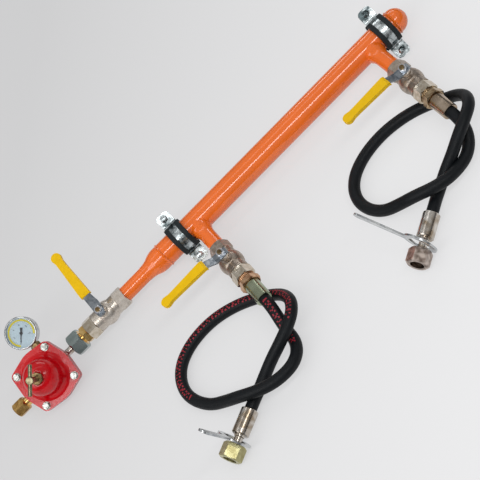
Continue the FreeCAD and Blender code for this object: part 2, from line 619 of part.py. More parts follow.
retainers, seat_rings, glands = [], [], []
for key, seat in VALVE_SEATS.items():
    node("valve_body_" + key, copy_of("valve_body_" + key, housing, seat))
    retainers.append(copy_of("valve_retainer_" + key, retainer, seat))
    seat_rings += [copy_of("valve_seat_%s_%d" % (key, count), ring, seat) for count, ring in enumerate(seats)]
    glands.append(copy_of("valve_gland_" + key, gland, seat.multiply(SIDEWAYS)))
    node("valve_ball_" + key, copy_of("valve_ball_" + key, bore_ball, seat))
    node("valve_stem_" + key, copy_of("valve_stem_" + key, stem, seat))
    swing = shifted(0, 0, 0, V(-1, 0, 0), size("main_lever_swing") if key == "main" else 0)
    arm = seat.multiply(swing).multiply(LEVER_TURN)
    node("lever_" + key, copy_of("lever_" + key, lever, arm))
    node("lever_grip_" + key, copy_of("lever_grip_" + key, grip, arm))
    top = seat.multiply(SIDEWAYS).multiply(shifted(0, 0, size("lever_low") + size("lever_wall")))
    node("lever_nut_" + key, copy_of("lever_nut_" + key, lever_nut, top))
group("valve_retainers", retainers)
group("valve_seats", seat_rings)
group("packing_nuts", glands)

# Regulator: two bolted castings with a diaphragm between them, spring and adjusting screw above

REGULATOR_UP = V(0, math.cos(math.radians(size("regulator_tilt"))), math.sin(math.radians(size("regulator_tilt"))))
REGULATOR = aimed(V(REGULATOR_X, AXIS_Y, AXIS_Z) - REGULATOR_UP * size("port_offset"),
                  tilted(size("regulator_tilt")), ALONG).multiply(shifted(0, 0, 0, V(0, 0, 1), size("regulator_turn")))


def lobed(name, low, thick, hole="bolt_hole_r"):
    """A round flange that runs out to four bolt lobes, and the holes that go through them."""
    items = [rod(name + "_disc", "flange_r", thick, shifted(0, 0, low))]
    holes = []
    rise = "sqrt(1 - ((flange_r - lobe_r) / bolt_circle_r) ^ 2)"
    lean = "((flange_r - lobe_r) / bolt_circle_r)"
    sides = [("flange_r * " + lean, "flange_r * " + rise), ("bolt_circle_r + lobe_r * " + lean, "lobe_r * " + rise)]
    for count in range(4):
        angle = math.radians(45 + 90 * count)
        x, y = size("bolt_circle_r") * math.cos(angle), size("bolt_circle_r") * math.sin(angle)
        items.append(rod("%s_lobe_%d" % (name, count), "lobe_r", thick, shifted(x, y, low)))
        items.append(plate("%s_web_%d" % (name, count), [
            (sides[0][0], "-" + sides[0][1]), (sides[1][0], "-" + sides[1][1]), sides[1], sides[0]],
            thick, "XY_Plane", False, shifted(0, 0, low, V(0, 0, 1), math.degrees(angle))))
        holes.append(rod("%s_hole_%d" % (name, count), hole, "%s * 2" % thick, shifted(x, y, low - 1)))
    return items, holes


lower_flange, lower_holes = lobed("lower_flange", size("flange_low"), "lower_flange_t", "bolt_r + joint_gap")
body_core = turned("regulator_core", [
    ("0", "-body_back"), ("body_r - 4", "-body_back"), ("body_r", "4 - body_back"),
    ("body_r", "flange_low * 0.3", "flange_r - body_r", -1), ("flange_r - 4", "flange_low"),
    ("flange_r - 4", "flange_low + 2"), ("0", "flange_low + 2")])
PORTS = shifted(0, 0, 0, V(0, 0, 1), -size("regulator_turn"))
INLET_Y = size("port_offset")
OUTLET_Y = size("port_offset") - size("outlet_drop")


def port(name, radius, length, x, y, angle):
    """A round piece along the header's line, inside the turned casting."""
    return rod(name, radius, length, PORTS.multiply(shifted(x, y, 0, V(0, 1, 0), angle)))


ports = [port("port_in", "port_boss_r", "port_reach", 0, INLET_Y, 90),
         port("port_out", "port_boss_r", "port_reach", 0, OUTLET_Y, -90),
         rod("gauge_boss", "gauge_boss_r", "gauge_boss_reach", shifted(size("gauge_x"), 0, 0, V(1, 0, 0), -90))]
chamber = turned("regulator_chamber", [
    ("0", "-body_back / 2"), ("guide_r + spin_gap", "-body_back / 2"), ("guide_r + spin_gap", "plate_z - chamber_depth"),
    ("chamber_r", "plate_z - chamber_depth"), ("chamber_r", "plate_z + 1"), ("0", "plate_z + 1")])
drillings = [
    port("inlet_way", "port_bore_r", "port_reach", size("body_r") * 0.55, INLET_Y, 90),
    port("outlet_way", "outlet_stub_bore", "port_reach", -size("body_r") * 0.3, OUTLET_Y, -90),
    port("outlet_socket", "outlet_stub_r + joint_gap", "port_reach", 10 - size("port_reach"), OUTLET_Y, -90),
    rod("gauge_way", "gauge_thread_r + joint_gap", "gauge_thread_len + 1",
        shifted(size("gauge_x"), size("gauge_boss_reach") - size("gauge_thread_len") - 1, 0, V(1, 0, 0), -90))]
node("regulator_body", cut("regulator_body_cut", joined("regulator_casting", lower_flange + [body_core] + ports),
                           lower_holes + [chamber] + drillings), REGULATOR)

disc_items, disc_holes = lobed("diaphragm", size("plate_z"), "diaphragm_t")
node("diaphragm", cut("diaphragm_cut", joined("diaphragm_sheet", disc_items), disc_holes), REGULATOR)

upper_flange, upper_holes = lobed("upper_flange", size("bonnet_low"), "upper_flange_t")
bonnet_outer = turned("bonnet_outer", [
    ("0", "bonnet_low"), ("skirt_r + 4", "bonnet_low"), ("skirt_r + 4", "bonnet_seat", "dome_low - bonnet_seat", -1),
    ("dome_r", "dome_low"), ("dome_r", "dome_high", "dome_r * 0.86", 1),
    ("crown_r", "crown_top"), ("0", "crown_top")])
bonnet_inner = turned("bonnet_inner", [
    ("0", "bonnet_low"), ("chamber_r", "bonnet_low"), ("spring_room_r + 4", "dome_low - 4"),
    ("spring_room_r + 3", "dome_high - 2"), ("crown_r - 1", "spring_room_top"),
    ("screw_thread_r + spin_gap", "spring_room_top"), ("screw_thread_r + spin_gap", "crown_top"), ("0", "crown_top")])
node("regulator_bonnet", cut("bonnet_cut", joined("bonnet_casting", upper_flange + [bonnet_outer]),
                             upper_holes + [bonnet_inner]), REGULATOR)

bolts = []
for count in range(4):
    angle = math.radians(45 + 90 * count)
    seat_z = size("bonnet_seat")
    shank_len = "upper_flange_t + diaphragm_t + lower_flange_t"
    blank = joined("flange_bolt_%d" % count, [
        rod("flange_shank_%d" % count, "bolt_r", shank_len + " + 1", shifted(0, 0, -number(shank_len))),
        rod("flange_washer_%d" % count, "washer_r", "washer_t"),
        hex_blank("flange_head_%d" % count, "bolt_af", "bolt_head_h", "0.7", shifted(0, 0, size("washer_t")))])
    blank.Placement = REGULATOR.multiply(shifted(size("bolt_circle_r") * math.cos(angle),
                                                 size("bolt_circle_r") * math.sin(angle), seat_z))
    bolts.append(blank)
group("flange_bolts", bolts)

node("bonnet_nut", cut("bonnet_nut_cut", hex_blank("bonnet_nut_hex", "bonnet_nut_af", "bonnet_nut_h", "1.2",
                                                   shifted(0, 0, size("crown_top"))),
                       [rod("bonnet_nut_bore", "screw_thread_r + spin_gap", "screw_top")]), REGULATOR)

screw_blank = turned("screw_blank", [
    ("0", "plate_low + plate_t"), ("screw_thread_r", "plate_low + plate_t"), ("screw_thread_r", "screw_top - screw_head_dia * 0.8"),
    ("screw_head_dia / 2", "screw_top - screw_head_dia * 0.65"), ("screw_head_dia / 2", "screw_top - 1"),
    ("screw_head_dia / 2 - 1", "screw_top"), ("0", "screw_top")])
turn = math.radians(size("tee_turn"))
tee_way = V(math.cos(turn), math.sin(turn), 0)
tee_seat = aimed(V(0, 0, size("tee_z")) - tee_way * (size("tee_len") / 2), tee_way, V(0, 0, 1))
node("adjusting_screw", cut("screw_cut", screw_blank, [rod("tee_hole", "tee_r", "tee_len", tee_seat)]), REGULATOR)
node("tee_bar", turned("tee_rod", [
    ("0", "0"), ("tee_r - 0.8", "0"), ("tee_r", "0.8"), ("tee_r", "tee_len - 0.8"), ("tee_r - 0.8", "tee_len"),
    ("0", "tee_len")]), REGULATOR.multiply(tee_seat))

node("spring_plate", turned("spring_plate_disc", [
    ("0", "plate_low"), ("plate_r", "plate_low"), ("plate_r", "plate_low + plate_t * 0.5"),
    ("plate_r * 0.5", "plate_low + plate_t"), ("0", "plate_low + plate_t")]), REGULATOR)

spring_low = "(plate_z + diaphragm_t)"
spring_pitch = "((plate_low - %s - spring_wire) / spring_turns)" % spring_low
spring_body = doc.addObject("PartDesign::Body", "range_spring_body")
spring_sketch = spring_body.newObject("Sketcher::SketchObject", "range_spring_wire")
spring_plane = next(item for item in spring_body.Origin.OriginFeatures if item.Role == "XZ_Plane")
spring_sketch.AttachmentSupport = [(spring_plane, "")]
spring_sketch.MapMode = "FlatFace"
spring_spot = V(size("spring_r"), number(spring_low) + size("spring_wire") / 2 + 0.1, 0)
spring_sketch.addGeometry(Part.Circle(spring_spot, V(0, 0, 1), size("spring_wire") / 2), False)
for kind, spot, formula in (("DistanceX", spring_spot.x, "spring_r"),
                            ("DistanceY", spring_spot.y, spring_low + " + spring_wire / 2 + 0.1")):
    index = spring_sketch.addConstraint(Sketcher.Constraint(kind, -1, 1, 0, 3, spot))
    spring_sketch.setExpression("Constraints[%d]" % index, bound(formula))
index = spring_sketch.addConstraint(Sketcher.Constraint("Radius", 0, size("spring_wire") / 2))
spring_sketch.setExpression("Constraints[%d]" % index, bound("spring_wire / 2"))
spring_coil = spring_body.newObject("PartDesign::AdditiveHelix", "range_spring_coil")
spring_coil.Profile = spring_sketch
spring_coil.ReferenceAxis = (spring_sketch, ["V_Axis"])
spring_coil.Mode = 0
bind(spring_coil, "Pitch", spring_pitch)
bind(spring_coil, "Height", "plate_low - %s - spring_wire - 0.2" % spring_low)
node("range_spring", spring_body, REGULATOR)

node("valve_plunger", turned("plunger", [
    ("0", "plate_z - 0.3 - plunger_len"), ("guide_r", "plate_z - 0.3 - plunger_len"),
    ("guide_r", "plate_z - 3.5"), ("guide_r * 2.6", "plate_z - 3.5"), ("guide_r * 2.6", "plate_z - 0.3"),
    ("0", "plate_z - 0.3")]), REGULATOR)

# Pressure gauge on its brass block

GAUGE = REGULATOR.multiply(shifted(size("gauge_x"), size("gauge_reach"), 0))
half = "gauge_depth / 2"
case_turned = turned("gauge_case_turned", [
    ("0", "-%s" % half), ("gauge_r - 4", "-%s" % half), ("gauge_r", "4 - %s" % half),
    ("gauge_r", "%s - bezel_w" % half), ("bezel_r", "%s - bezel_w + 0.6" % half), ("bezel_r", "%s - 1" % half),
    ("bezel_r - 1", half), ("bezel_r - bezel_lip", half), ("bezel_r - bezel_lip", "%s - lens_below_rim" % half),
    ("gauge_r - case_wall", "%s - lens_below_rim" % half), ("gauge_r - case_wall", "case_wall + 3 - %s" % half),
    ("gauge_r - case_wall - 3", "case_wall - %s" % half), ("0", "case_wall - %s" % half)])
stem_hole = rod("gauge_stem_hole", "gauge_thread_r + joint_gap", "gauge_r", shifted(0, -size("bezel_r") - 1, 0, V(1, 0, 0), -90))
node("gauge_case", cut("gauge_case_cut", case_turned, [stem_hole]), GAUGE)
node("gauge_lens", turned("gauge_lens_disc", [
    ("0", "%s - lens_below_rim - lens_t" % half), ("gauge_r - case_wall - joint_gap", "%s - lens_below_rim - lens_t" % half),
    ("gauge_r - case_wall - joint_gap", "%s - lens_below_rim - joint_gap" % half), ("0", "%s - lens_below_rim - joint_gap" % half)]), GAUGE)
dial_face = "(%s - dial_below_rim)" % half
node("gauge_dial", turned("gauge_dial_disc", [
    ("needle_pin_r + joint_gap", "%s - dial_t" % dial_face), ("gauge_r - case_wall - joint_gap", "%s - dial_t" % dial_face),
    ("gauge_r - case_wall - joint_gap", dial_face), ("needle_pin_r + joint_gap", dial_face)]), GAUGE)
needle_frame = GAUGE.multiply(shifted(0, 0, 0, V(0, 0, 1), size("needle_turn")))
needle_plate = plate("needle_plate", [
    ("-needle_tail", "-needle_w"), ("0", "-needle_w / 2"), ("needle_len", "-needle_w / 6"),
    ("needle_len", "needle_w / 6"), ("0", "needle_w / 2"), ("-needle_tail", "needle_w")],
    "needle_t", "XY_Plane", False, shifted(0, 0, number(dial_face) + 0.6))
needle_pin = rod("needle_pin", "needle_pin_r", "2.2", shifted(0, 0, number(dial_face) - 1))
needle_hub = rod("needle_hub", "needle_hub_r", "needle_t + 0.5", shifted(0, 0, number(dial_face) + 0.5))
node("gauge_pointer", joined("needle", [needle_plate, needle_pin, needle_hub]), needle_frame)

block_low = size("gauge_boss_reach")
block_len = "gauge_reach - bezel_r - joint_gap - gauge_boss_reach"
gauge_block = joined("gauge_block_solid", [
    hex_blank("gauge_block_hex", "gauge_stem_af", block_len, "0.8"),
    rod("gauge_block_thread", "gauge_thread_r", "gauge_thread_len + 1", shifted(0, 0, -size("gauge_thread_len"))),
    rod("gauge_block_neck", "gauge_thread_r", "gauge_reach - gauge_boss_reach - gauge_r + case_wall + 1")])
node("gauge_block", cut("gauge_block_cut", gauge_block, [
    rod("gauge_block_way", "gauge_stem_bore", "gauge_reach * 2", shifted(0, 0, -size("gauge_reach")))]),
    REGULATOR.multiply(shifted(size("gauge_x"), block_low, 0, V(1, 0, 0), -90)))

# Inlet union: steel tailpiece, union nut and a brass nipple in the first valve

UNION = on_axis(REGULATOR_X, ALONG, tilted(size("regulator_tilt")))
union_end = "(regulator_gap - nipple_hex_len - nipple_neck_len)"
union_start = "(%s - union_len)" % union_end
cone_low = "(%s + union_lip + swivel_gap)" % union_start
tail_end = "(%s + cone_len)" % cone_low
tail_start = "(port_reach - 10)"
nose = "(%s + 0.4)" % tail_end
node("tailpiece", turned("tailpiece_tube", [
    ("tailpiece_bore", tail_start), ("tailpiece_r", tail_start), ("tailpiece_r", cone_low),
    ("cone_r", cone_low), ("cone_r", "%s - 1" % tail_end), ("cone_r - 2", tail_end),
    ("tailpiece_bore", tail_end)]), UNION)
union_blank = hex_blank("union_hex", "union_af", "union_len", "3.2", shifted(0, 0, number(union_start)))
union_bore = turned("union_bore", [
    ("0", union_start), ("tailpiece_r + swivel_gap", union_start),
    ("tailpiece_r + swivel_gap", union_start + " + union_lip"),
    ("union_thread_r", union_start + " + union_lip"), ("union_thread_r", union_end), ("0", union_end)])
node("union_nut", cut("union_nut_cut", union_blank, [union_bore]), UNION)
nipple_outer = turned("nipple_outer", [
    ("tailpiece_bore + 1", nose), ("union_thread_r - swivel_gap", nose), ("union_thread_r - swivel_gap", union_end),
    ("nipple_neck_r", union_end), ("nipple_neck_r", "regulator_gap"), ("socket_r - joint_gap * 2", "regulator_gap"),
    ("socket_r - joint_gap * 2", "regulator_gap + thread_len"), ("tailpiece_bore + 1", "regulator_gap + thread_len")])
nipple_hex = cut("nipple_hex_ring", hex_blank("nipple_hex", "nipple_af", "nipple_hex_len", "1.4",
                                              shifted(0, 0, size("regulator_gap") - size("nipple_hex_len"))),
                 [rod("nipple_hex_bore", "nipple_neck_r - 1", "regulator_gap * 2")])
node("inlet_nipple", joined("nipple_whole", [nipple_outer, nipple_hex]), UNION)

# Outlet: brass stub with a swivel nut held behind its collar

OUTLET = aimed(V(REGULATOR_X, AXIS_Y, AXIS_Z) - REGULATOR_UP * size("outlet_drop"), -ALONG,
               tilted(size("regulator_tilt")))
stub_start = "(port_reach - 9)"
nut_start = "(port_reach + outlet_gap)"
collar = "(%s + outlet_nut_lip + swivel_gap)" % nut_start
node("outlet_stub", turned("outlet_stub_turned", [
    ("outlet_stub_bore", stub_start), ("outlet_stub_r", stub_start), ("outlet_stub_r", collar),
    ("outlet_collar_r", collar), ("outlet_collar_r", collar + " + 3"), ("outlet_stub_r - 1", collar + " + 6"),
    ("outlet_stub_bore", collar + " + 6")]), OUTLET)
outlet_hex = hex_blank("outlet_hex", "outlet_nut_af", "outlet_nut_len", "2.4", shifted(0, 0, number(nut_start)))
outlet_taper = turned("outlet_taper", [
    ("0", nut_start), ("outlet_nut_af", nut_start), ("outlet_nut_af", nut_start + " + outlet_nut_len * 0.4"),
    ("outlet_nut_af * 0.47", nut_start + " + outlet_nut_len"), ("0", nut_start + " + outlet_nut_len")])
outlet_bore = turned("outlet_bore", [
    ("0", nut_start), ("outlet_stub_r + swivel_gap", nut_start),
    ("outlet_stub_r + swivel_gap", nut_start + " + outlet_nut_lip"),
    ("outlet_relief_r", nut_start + " + outlet_nut_lip"),
    ("outlet_relief_r", nut_start + " + outlet_nut_lip + outlet_relief_len"),
    ("outlet_thread_r", nut_start + " + outlet_nut_lip + outlet_relief_len"),
    ("outlet_thread_r", nut_start + " + outlet_nut_len"),
    ("0", nut_start + " + outlet_nut_len")])
node("outlet_nut", cut("outlet_nut_cut", shared("outlet_nut_blank", outlet_hex, outlet_taper), [outlet_bore]), OUTLET)

# Branch ends: hex adapters and the ferrules that start the hoses

adapters, start_ferrules = [], []
ADAPTER_AT = size("branch_len") + size("valve_len")
FERRULE_AT = ADAPTER_AT + size("adapter_neck_len") + size("adapter_hex_len")
HOSE_AT = FERRULE_AT + size("start_ferrule_len")
for key in "ab":
    seat = branch_frame(key, ADAPTER_AT)
    stock = joined("adapter_stock_" + key, [
        rod("adapter_thread_" + key, "socket_r - joint_gap * 2", "thread_len + 1", shifted(0, 0, -size("thread_len"))),
        rod("adapter_neck_" + key, "adapter_neck_r", "adapter_neck_len"),
        hex_blank("adapter_hex_" + key, "adapter_af", "adapter_hex_len", "1.8", shifted(0, 0, size("adapter_neck_len")))])
    adapter = cut("adapter_" + key, stock, [rod("adapter_way_" + key, "tail_bore", "branch_len * 2",
                                                shifted(0, 0, -size("branch_len")))])
    adapter.Placement = seat.multiply(shifted(0, 0, 0, V(0, 0, 1), 30))
    adapters.append(adapter)
    start_ferrules.append(turned("start_ferrule_" + key, [
        ("tail_bore", "0"), ("ferrule_r - 1", "0"), ("ferrule_r", "1"), ("ferrule_r", "start_ferrule_len - 1"),
        ("ferrule_r - 1", "start_ferrule_len"), ("tail_bore", "start_ferrule_len")], branch_frame(key, FERRULE_AT)))
group("hose_adapters", adapters)
group("start_ferrules", start_ferrules)

# Hoses: each makes an overhand loop on the table. Points are as chosen, from ferrule to ferrule.

HOSE_START = {key: V(BRANCH_X[key], AXIS_Y - HOSE_AT, AXIS_Z) for key in "ab"}
HOSE_ROUTE = {
    "a": [(-27.8, -193.8, 28.5), (-31.8, -213.8, 20), (-32.8, -235.8, 15.5),
          (-41.8, -256.8, 19), (-57.8, -271.8, 26), (-79.8, -277.8, 32), (-103.8, -274.8, 34.5), (-128.8, -263.8, 35),
          (-151.8, -245.8, 29), (-173.8, -225.8, 17), (-195.8, -206.8, 10), (-210.8, -182.8, 9.8), (-216.8, -156.8, 9.8),
          (-210.8, -130.8, 9.8), (-194.8, -109.8, 9.8), (-170.8, -96.8, 9.8), (-142.8, -90.8, 9.8), (-113.8, -90.8, 9.8),
          (-85.8, -96.8, 9.8), (-58.8, -107.8, 9.8), (-33.8, -122.8, 10), (-12.8, -141.8, 13), (1.2, -164.8, 23),
          (5.2, -190.8, 35), (-4.8, -213.8, 42.5), (-26.8, -228.8, 42.5), (-52.8, -234.8, 35), (-78.8, -236.8, 24),
          (-102.8, -240.8, 13), (-123.8, -249.8, 10), (-137.8, -258.7, 13.2), (-152.8, -267.5, 14.4)],
    "b": [(373.2, -191.8, 26.5), (361.2, -208.8, 19.5), (343.2, -221.8, 18),
          (320.2, -230.8, 23), (295.2, -235.8, 31), (270.2, -230.8, 35), (246.2, -215.8, 31), (223.2, -197.8, 19),
          (201.2, -180.8, 10.5), (187.2, -159.8, 9.8), (183.2, -134.8, 9.8), (190.2, -110.8, 9.8), (207.2, -90.8, 9.8),
          (231.2, -77.8, 9.8), (258.2, -70.8, 9.8), (286.2, -68.8, 9.8), (313.2, -71.8, 9.8), (340.2, -78.8, 9.7),
          (366.2, -90.8, 9.7), (391.2, -107.3, 9.7), (408.2, -127.8, 19), (412.2, -152.8, 33), (402.2, -176.8, 44.5),
          (379.2, -192.8, 48), (354.2, -203.8, 44), (330.2, -211.8, 34), (306.2, -215.8, 21.5), (285.2, -221.8, 11.5),
          (267.2, -231.3, 10), (257.2, -240.1, 13.4), (244.2, -249.3, 14.4)],
}


def unit(vector):
    return V(vector).normalize()


def cord_tube(name, points, radius):
    """Straight runs joined by tangent arcs, as large as their runs allow."""
    points = [V(*point) for point in points]
    edges, radii = [], []
    length = 0.0
    last = points[0]
    for before, corner, after in zip(points, points[1:], points[2:]):
        inward, outward = unit(corner - before), unit(after - corner)
        run = min((corner - before).Length, (after - corner).Length)
        half_turn = inward.getAngle(outward) / 2
        setback = 0.45 * run
        arc_radius = setback / math.tan(half_turn)
        radii.append(arc_radius)
        start, stop = corner - inward * setback, corner + outward * setback
        bulge = unit(outward - inward)
        edges.append(Part.LineSegment(last, start).toShape())
        centre = corner + bulge * (arc_radius / math.cos(half_turn))
        middle = centre - bulge * arc_radius
        edges.append(Part.Arc(start, middle, stop).toShape())
        length += (start - last).Length + arc_radius * 2 * half_turn
        last = stop
    edges.append(Part.LineSegment(last, points[-1]).toShape())
    length += (points[-1] - last).Length
    path = Part.Wire(edges)
    ring = Part.Wire([Part.Circle(points[0], unit(points[1] - points[0]), radius).toShape()])
    shape = path.makePipeShell([ring], True, True)
    want = math.pi * radius ** 2 * length
    print("%s: length %.1f, volume %.0f of %.0f" % (name, length, shape.Volume, want))
    print("  arc radii " + ", ".join("%.0f" % value for value in radii))
    item = doc.addObject("Part::Feature", name)
    item.Shape = shape
    return item


for key in "ab":
    start = HOSE_START[key]
    route = [tuple(start), tuple(start - V(0, size("first_run"), 0))] + HOSE_ROUTE[key]
    node("hose_" + key, cord_tube("hose_" + key, route, size("hose_r")))

# Hose ends: crimped ferrule and tail, a loose nut and a captive flat spanner


def end_axis(key):
    """The way that a hose's last run points, which its ferrule, nut and spanner follow."""
    return unit(V(*HOSE_ROUTE[key][-1]) - V(*HOSE_ROUTE[key][-2]))


SPANNER_ARM = {"a": V(-0.07, -0.22, 0.97), "b": V(-0.34, 0.88, 0.34)}
SPANNER_LEAN = {"a": V(-0.95, -0.33, -0.10), "b": V(-0.95, -0.31, -0.02)}
for key in "ab":
    start = V(*HOSE_ROUTE[key][-1])
    seat = aimed(start, end_axis(key), V(0, 0, 1))
    gap = "tail_gap_" + key
    crimped = turned("end_ferrule_" + key, [
        ("tail_r", "0"), ("ferrule_r - 1", "0"), ("ferrule_r", "1"), ("ferrule_r", "end_ferrule_len - 1.5"),
        ("ferrule_r - 1.5", "end_ferrule_len"), ("tail_r", "end_ferrule_len")], seat)
    lip_top = "(end_ferrule_len + tail_gap_b + end_nut_lip + swivel_gap)"
    tail = turned("tail_" + key, [
        ("tail_bore", "0"), ("tail_r - joint_gap", "0"), ("tail_r - joint_gap", "end_ferrule_len"),
        ("tail_r + 1.4", "end_ferrule_len"), ("tail_r + 1.4", "end_ferrule_len + 3"), ("tail_r", "end_ferrule_len + 4"),
        ("tail_r", lip_top), ("tail_collar_r", lip_top), ("tail_collar_r", lip_top + " + tail_collar_t - 2"),
        ("tail_collar_r - 3", lip_top + " + tail_collar_t"), ("tail_bore", lip_top + " + tail_collar_t")], seat)
    group("hose_end_" + key, [crimped, tail])
    nut_low = "(end_ferrule_len + %s)" % gap
    nut = hex_blank("end_nut_hex_" + key, "end_nut_af", "end_nut_len", "2.2", shifted(0, 0, number(nut_low)))
    nut_bore = turned("end_nut_bore_" + key, [
        ("0", nut_low), ("tail_r + swivel_gap", nut_low), ("tail_r + swivel_gap", nut_low + " + end_nut_lip"),
        ("end_relief_r", nut_low + " + end_nut_lip"),
        ("end_relief_r", nut_low + " + end_nut_lip + end_relief_len"),
        ("end_nut_thread_r", nut_low + " + end_nut_lip + end_relief_len"),
        ("end_nut_thread_r", nut_low + " + end_nut_len"),
        ("0", nut_low + " + end_nut_len")])
    node("end_nut_" + key, cut("end_nut_cut_" + key, nut, [nut_bore]), seat)
    arm = unit(SPANNER_ARM[key])
    lean = unit(SPANNER_LEAN[key] - arm * SPANNER_LEAN[key].dot(arm))
    ring_height = size("spanner_ring_r") * math.sqrt(1 - lean.z ** 2) + abs(lean.z) * size("spanner_t") / 2
    along = start + end_axis(key) * (size("end_ferrule_len") + 4.5 + (size(gap) - 4.5) / 2)
    centre = V(along.x, along.y, ring_height)
    ring = rod("spanner_ring_" + key, "spanner_ring_r", "spanner_t")
    bar = plate("spanner_bar_" + key, [
        ("0", "-spanner_neck_half_w * 1.5"), ("spanner_ring_r * 1.25", "-spanner_neck_half_w"),
        ("spanner_reach - spanner_half_w", "-spanner_half_w", "spanner_half_w", 1), ("spanner_reach", "0", "spanner_half_w", 1),
        ("spanner_reach - spanner_half_w", "spanner_half_w"), ("spanner_ring_r * 1.25", "spanner_neck_half_w"),
        ("0", "spanner_neck_half_w * 1.5")], "spanner_t")
    hole = hexagon("spanner_hole_" + key, "spanner_af", "spanner_t * 3", shifted(0, 0, -size("spanner_t")))
    spanner = cut("spanner_cut_" + key, joined("spanner_blank_" + key, [ring, bar]), [hole])
    node("spanner_" + key, spanner, aimed(centre, lean, arm).multiply(shifted(0, 0, -size("spanner_t") / 2)))
    print("spanner %s turns about (%.2f, %.2f, %.2f) on (%.4f, %.4f, %.4f)" % ((key,) + tuple(centre) + tuple(lean)))
    print("end nut %s turns on (%.4f, %.4f, %.4f) through (%.2f, %.2f, %.2f)"
          % ((key,) + tuple(end_axis(key)) + tuple(start + end_axis(key) * (number(nut_low) + size("end_nut_len")))))

doc.recompute()

failed = [item.Name for item in doc.Objects if "Invalid" in item.State or "Error" in item.State]
if failed:
    raise SystemExit("objects that failed: " + ", ".join(failed))
for name, item in nodes.items():
    shape = item.Shape
    if shape.isNull() or not shape.isValid() or not shape.Solids:
        raise SystemExit("no sound shape for " + name)
for name, item in nodes.items():
    item.Shape.exportStep("parts/%s.step" % name)
whole = Part.makeCompound([item.Shape for item in nodes.values()])
print("%d nodes, box %s" % (len(nodes), whole.BoundBox))
for label, spot in (("clamp a", facing(CLAMP_X["a"])), ("clamp b", facing(CLAMP_X["b"])), ("regulator", REGULATOR),
                    ("gauge", GAUGE), ("outlet", OUTLET), ("main valve", VALVE_SEATS["main"]),
                    ("valve a", VALVE_SEATS["a"]), ("valve b", VALVE_SEATS["b"])):
    print("%s at (%.2f, %.2f, %.2f)" % ((label,) + tuple(spot.Base)))
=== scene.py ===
"""Looks of a gas regulator manifold with two hoses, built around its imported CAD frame."""

import math

import bmesh
import bpy
from bpy.props import FloatProperty, FloatVectorProperty, IntProperty, PointerProperty
from mathutils import Matrix, Vector


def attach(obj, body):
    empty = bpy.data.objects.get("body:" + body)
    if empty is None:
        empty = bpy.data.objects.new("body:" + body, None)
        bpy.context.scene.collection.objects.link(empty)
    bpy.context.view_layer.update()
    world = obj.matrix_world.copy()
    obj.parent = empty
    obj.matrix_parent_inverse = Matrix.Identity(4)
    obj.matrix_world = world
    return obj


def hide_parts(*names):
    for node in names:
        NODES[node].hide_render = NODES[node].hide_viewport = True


bl_info = {
    "name": "Gas Regulator Manifold",
    "version": (1, 0, 0),
    "blender": (4, 5, 0),
    "location": "3D View > Sidebar > Manifold",
    "description": "Dresses the manifold's frame with hoses, marks and finishes, on a pale stage",
    "category": "Add Mesh",
}

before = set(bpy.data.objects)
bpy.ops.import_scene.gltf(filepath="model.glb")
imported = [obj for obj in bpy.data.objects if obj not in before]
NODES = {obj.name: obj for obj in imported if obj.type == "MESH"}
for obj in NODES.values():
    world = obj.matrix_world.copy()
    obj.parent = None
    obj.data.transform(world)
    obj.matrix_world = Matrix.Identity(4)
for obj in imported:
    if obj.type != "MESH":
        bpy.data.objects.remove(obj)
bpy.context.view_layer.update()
MM = 0.001

# Where the camera stands: turns in degrees, distance and target in metres, lens and sensor in millimetres
VIEW_YAW = -4.686
VIEW_RISE = 49.0
VIEW_ROLL = -48.846
VIEW_DISTANCE = 1.9929
VIEW_TARGET = Vector((0.0097, -0.0360, 0.0365))
VIEW_LENS = 93.75
VIEW_SENSOR = 36.0

# The hoses' control points in millimetres, from the ferrule to the end fitting
HOSE_ROUTE = {
    "a": [(-23.8, -155.9, 36.5), (-23.8, -173.9, 36.5), (-27.8, -193.8, 28.5), (-31.8, -213.8, 20),
          (-32.8, -235.8, 15.5), (-41.8, -256.8, 19), (-57.8, -271.8, 26), (-79.8, -277.8, 32),
          (-103.8, -274.8, 34.5), (-128.8, -263.8, 35), (-151.8, -245.8, 29), (-173.8, -225.8, 17),
          (-195.8, -206.8, 10), (-210.8, -182.8, 9.8), (-216.8, -156.8, 9.8), (-210.8, -130.8, 9.8),
          (-194.8, -109.8, 9.8), (-170.8, -96.8, 9.8), (-142.8, -90.8, 9.8), (-113.8, -90.8, 9.8),
          (-85.8, -96.8, 9.8), (-58.8, -107.8, 9.8), (-33.8, -122.8, 10), (-12.8, -141.8, 13),
          (1.2, -164.8, 23), (5.2, -190.8, 35), (-4.8, -213.8, 42.5), (-26.8, -228.8, 42.5),
          (-52.8, -234.8, 35), (-78.8, -236.8, 24), (-102.8, -240.8, 13), (-123.8, -249.8, 10),
          (-137.8, -258.7, 13.2), (-152.8, -267.5, 14.4)],
    "b": [(377.2, -155.9, 36.5), (377.2, -173.9, 36.5), (373.2, -191.8, 26.5), (361.2, -208.8, 19.5),
          (343.2, -221.8, 18), (320.2, -230.8, 23), (295.2, -235.8, 31), (270.2, -230.8, 35),
          (246.2, -215.8, 31), (223.2, -197.8, 19), (201.2, -180.8, 10.5), (187.2, -159.8, 9.8),
          (183.2, -134.8, 9.8), (190.2, -110.8, 9.8), (207.2, -90.8, 9.8), (231.2, -77.8, 9.8),
          (258.2, -70.8, 9.8), (286.2, -68.8, 9.8), (313.2, -71.8, 9.8), (340.2, -78.8, 9.7),
          (366.2, -90.8, 9.7), (391.2, -107.3, 9.7), (408.2, -127.8, 19), (412.2, -152.8, 33),
          (402.2, -176.8, 44.5), (379.2, -192.8, 48), (354.2, -203.8, 44), (330.2, -211.8, 34),
          (306.2, -215.8, 21.5), (285.2, -221.8, 11.5), (267.2, -231.3, 10), (257.2, -240.1, 13.4),
          (244.2, -249.3, 14.4)],
}
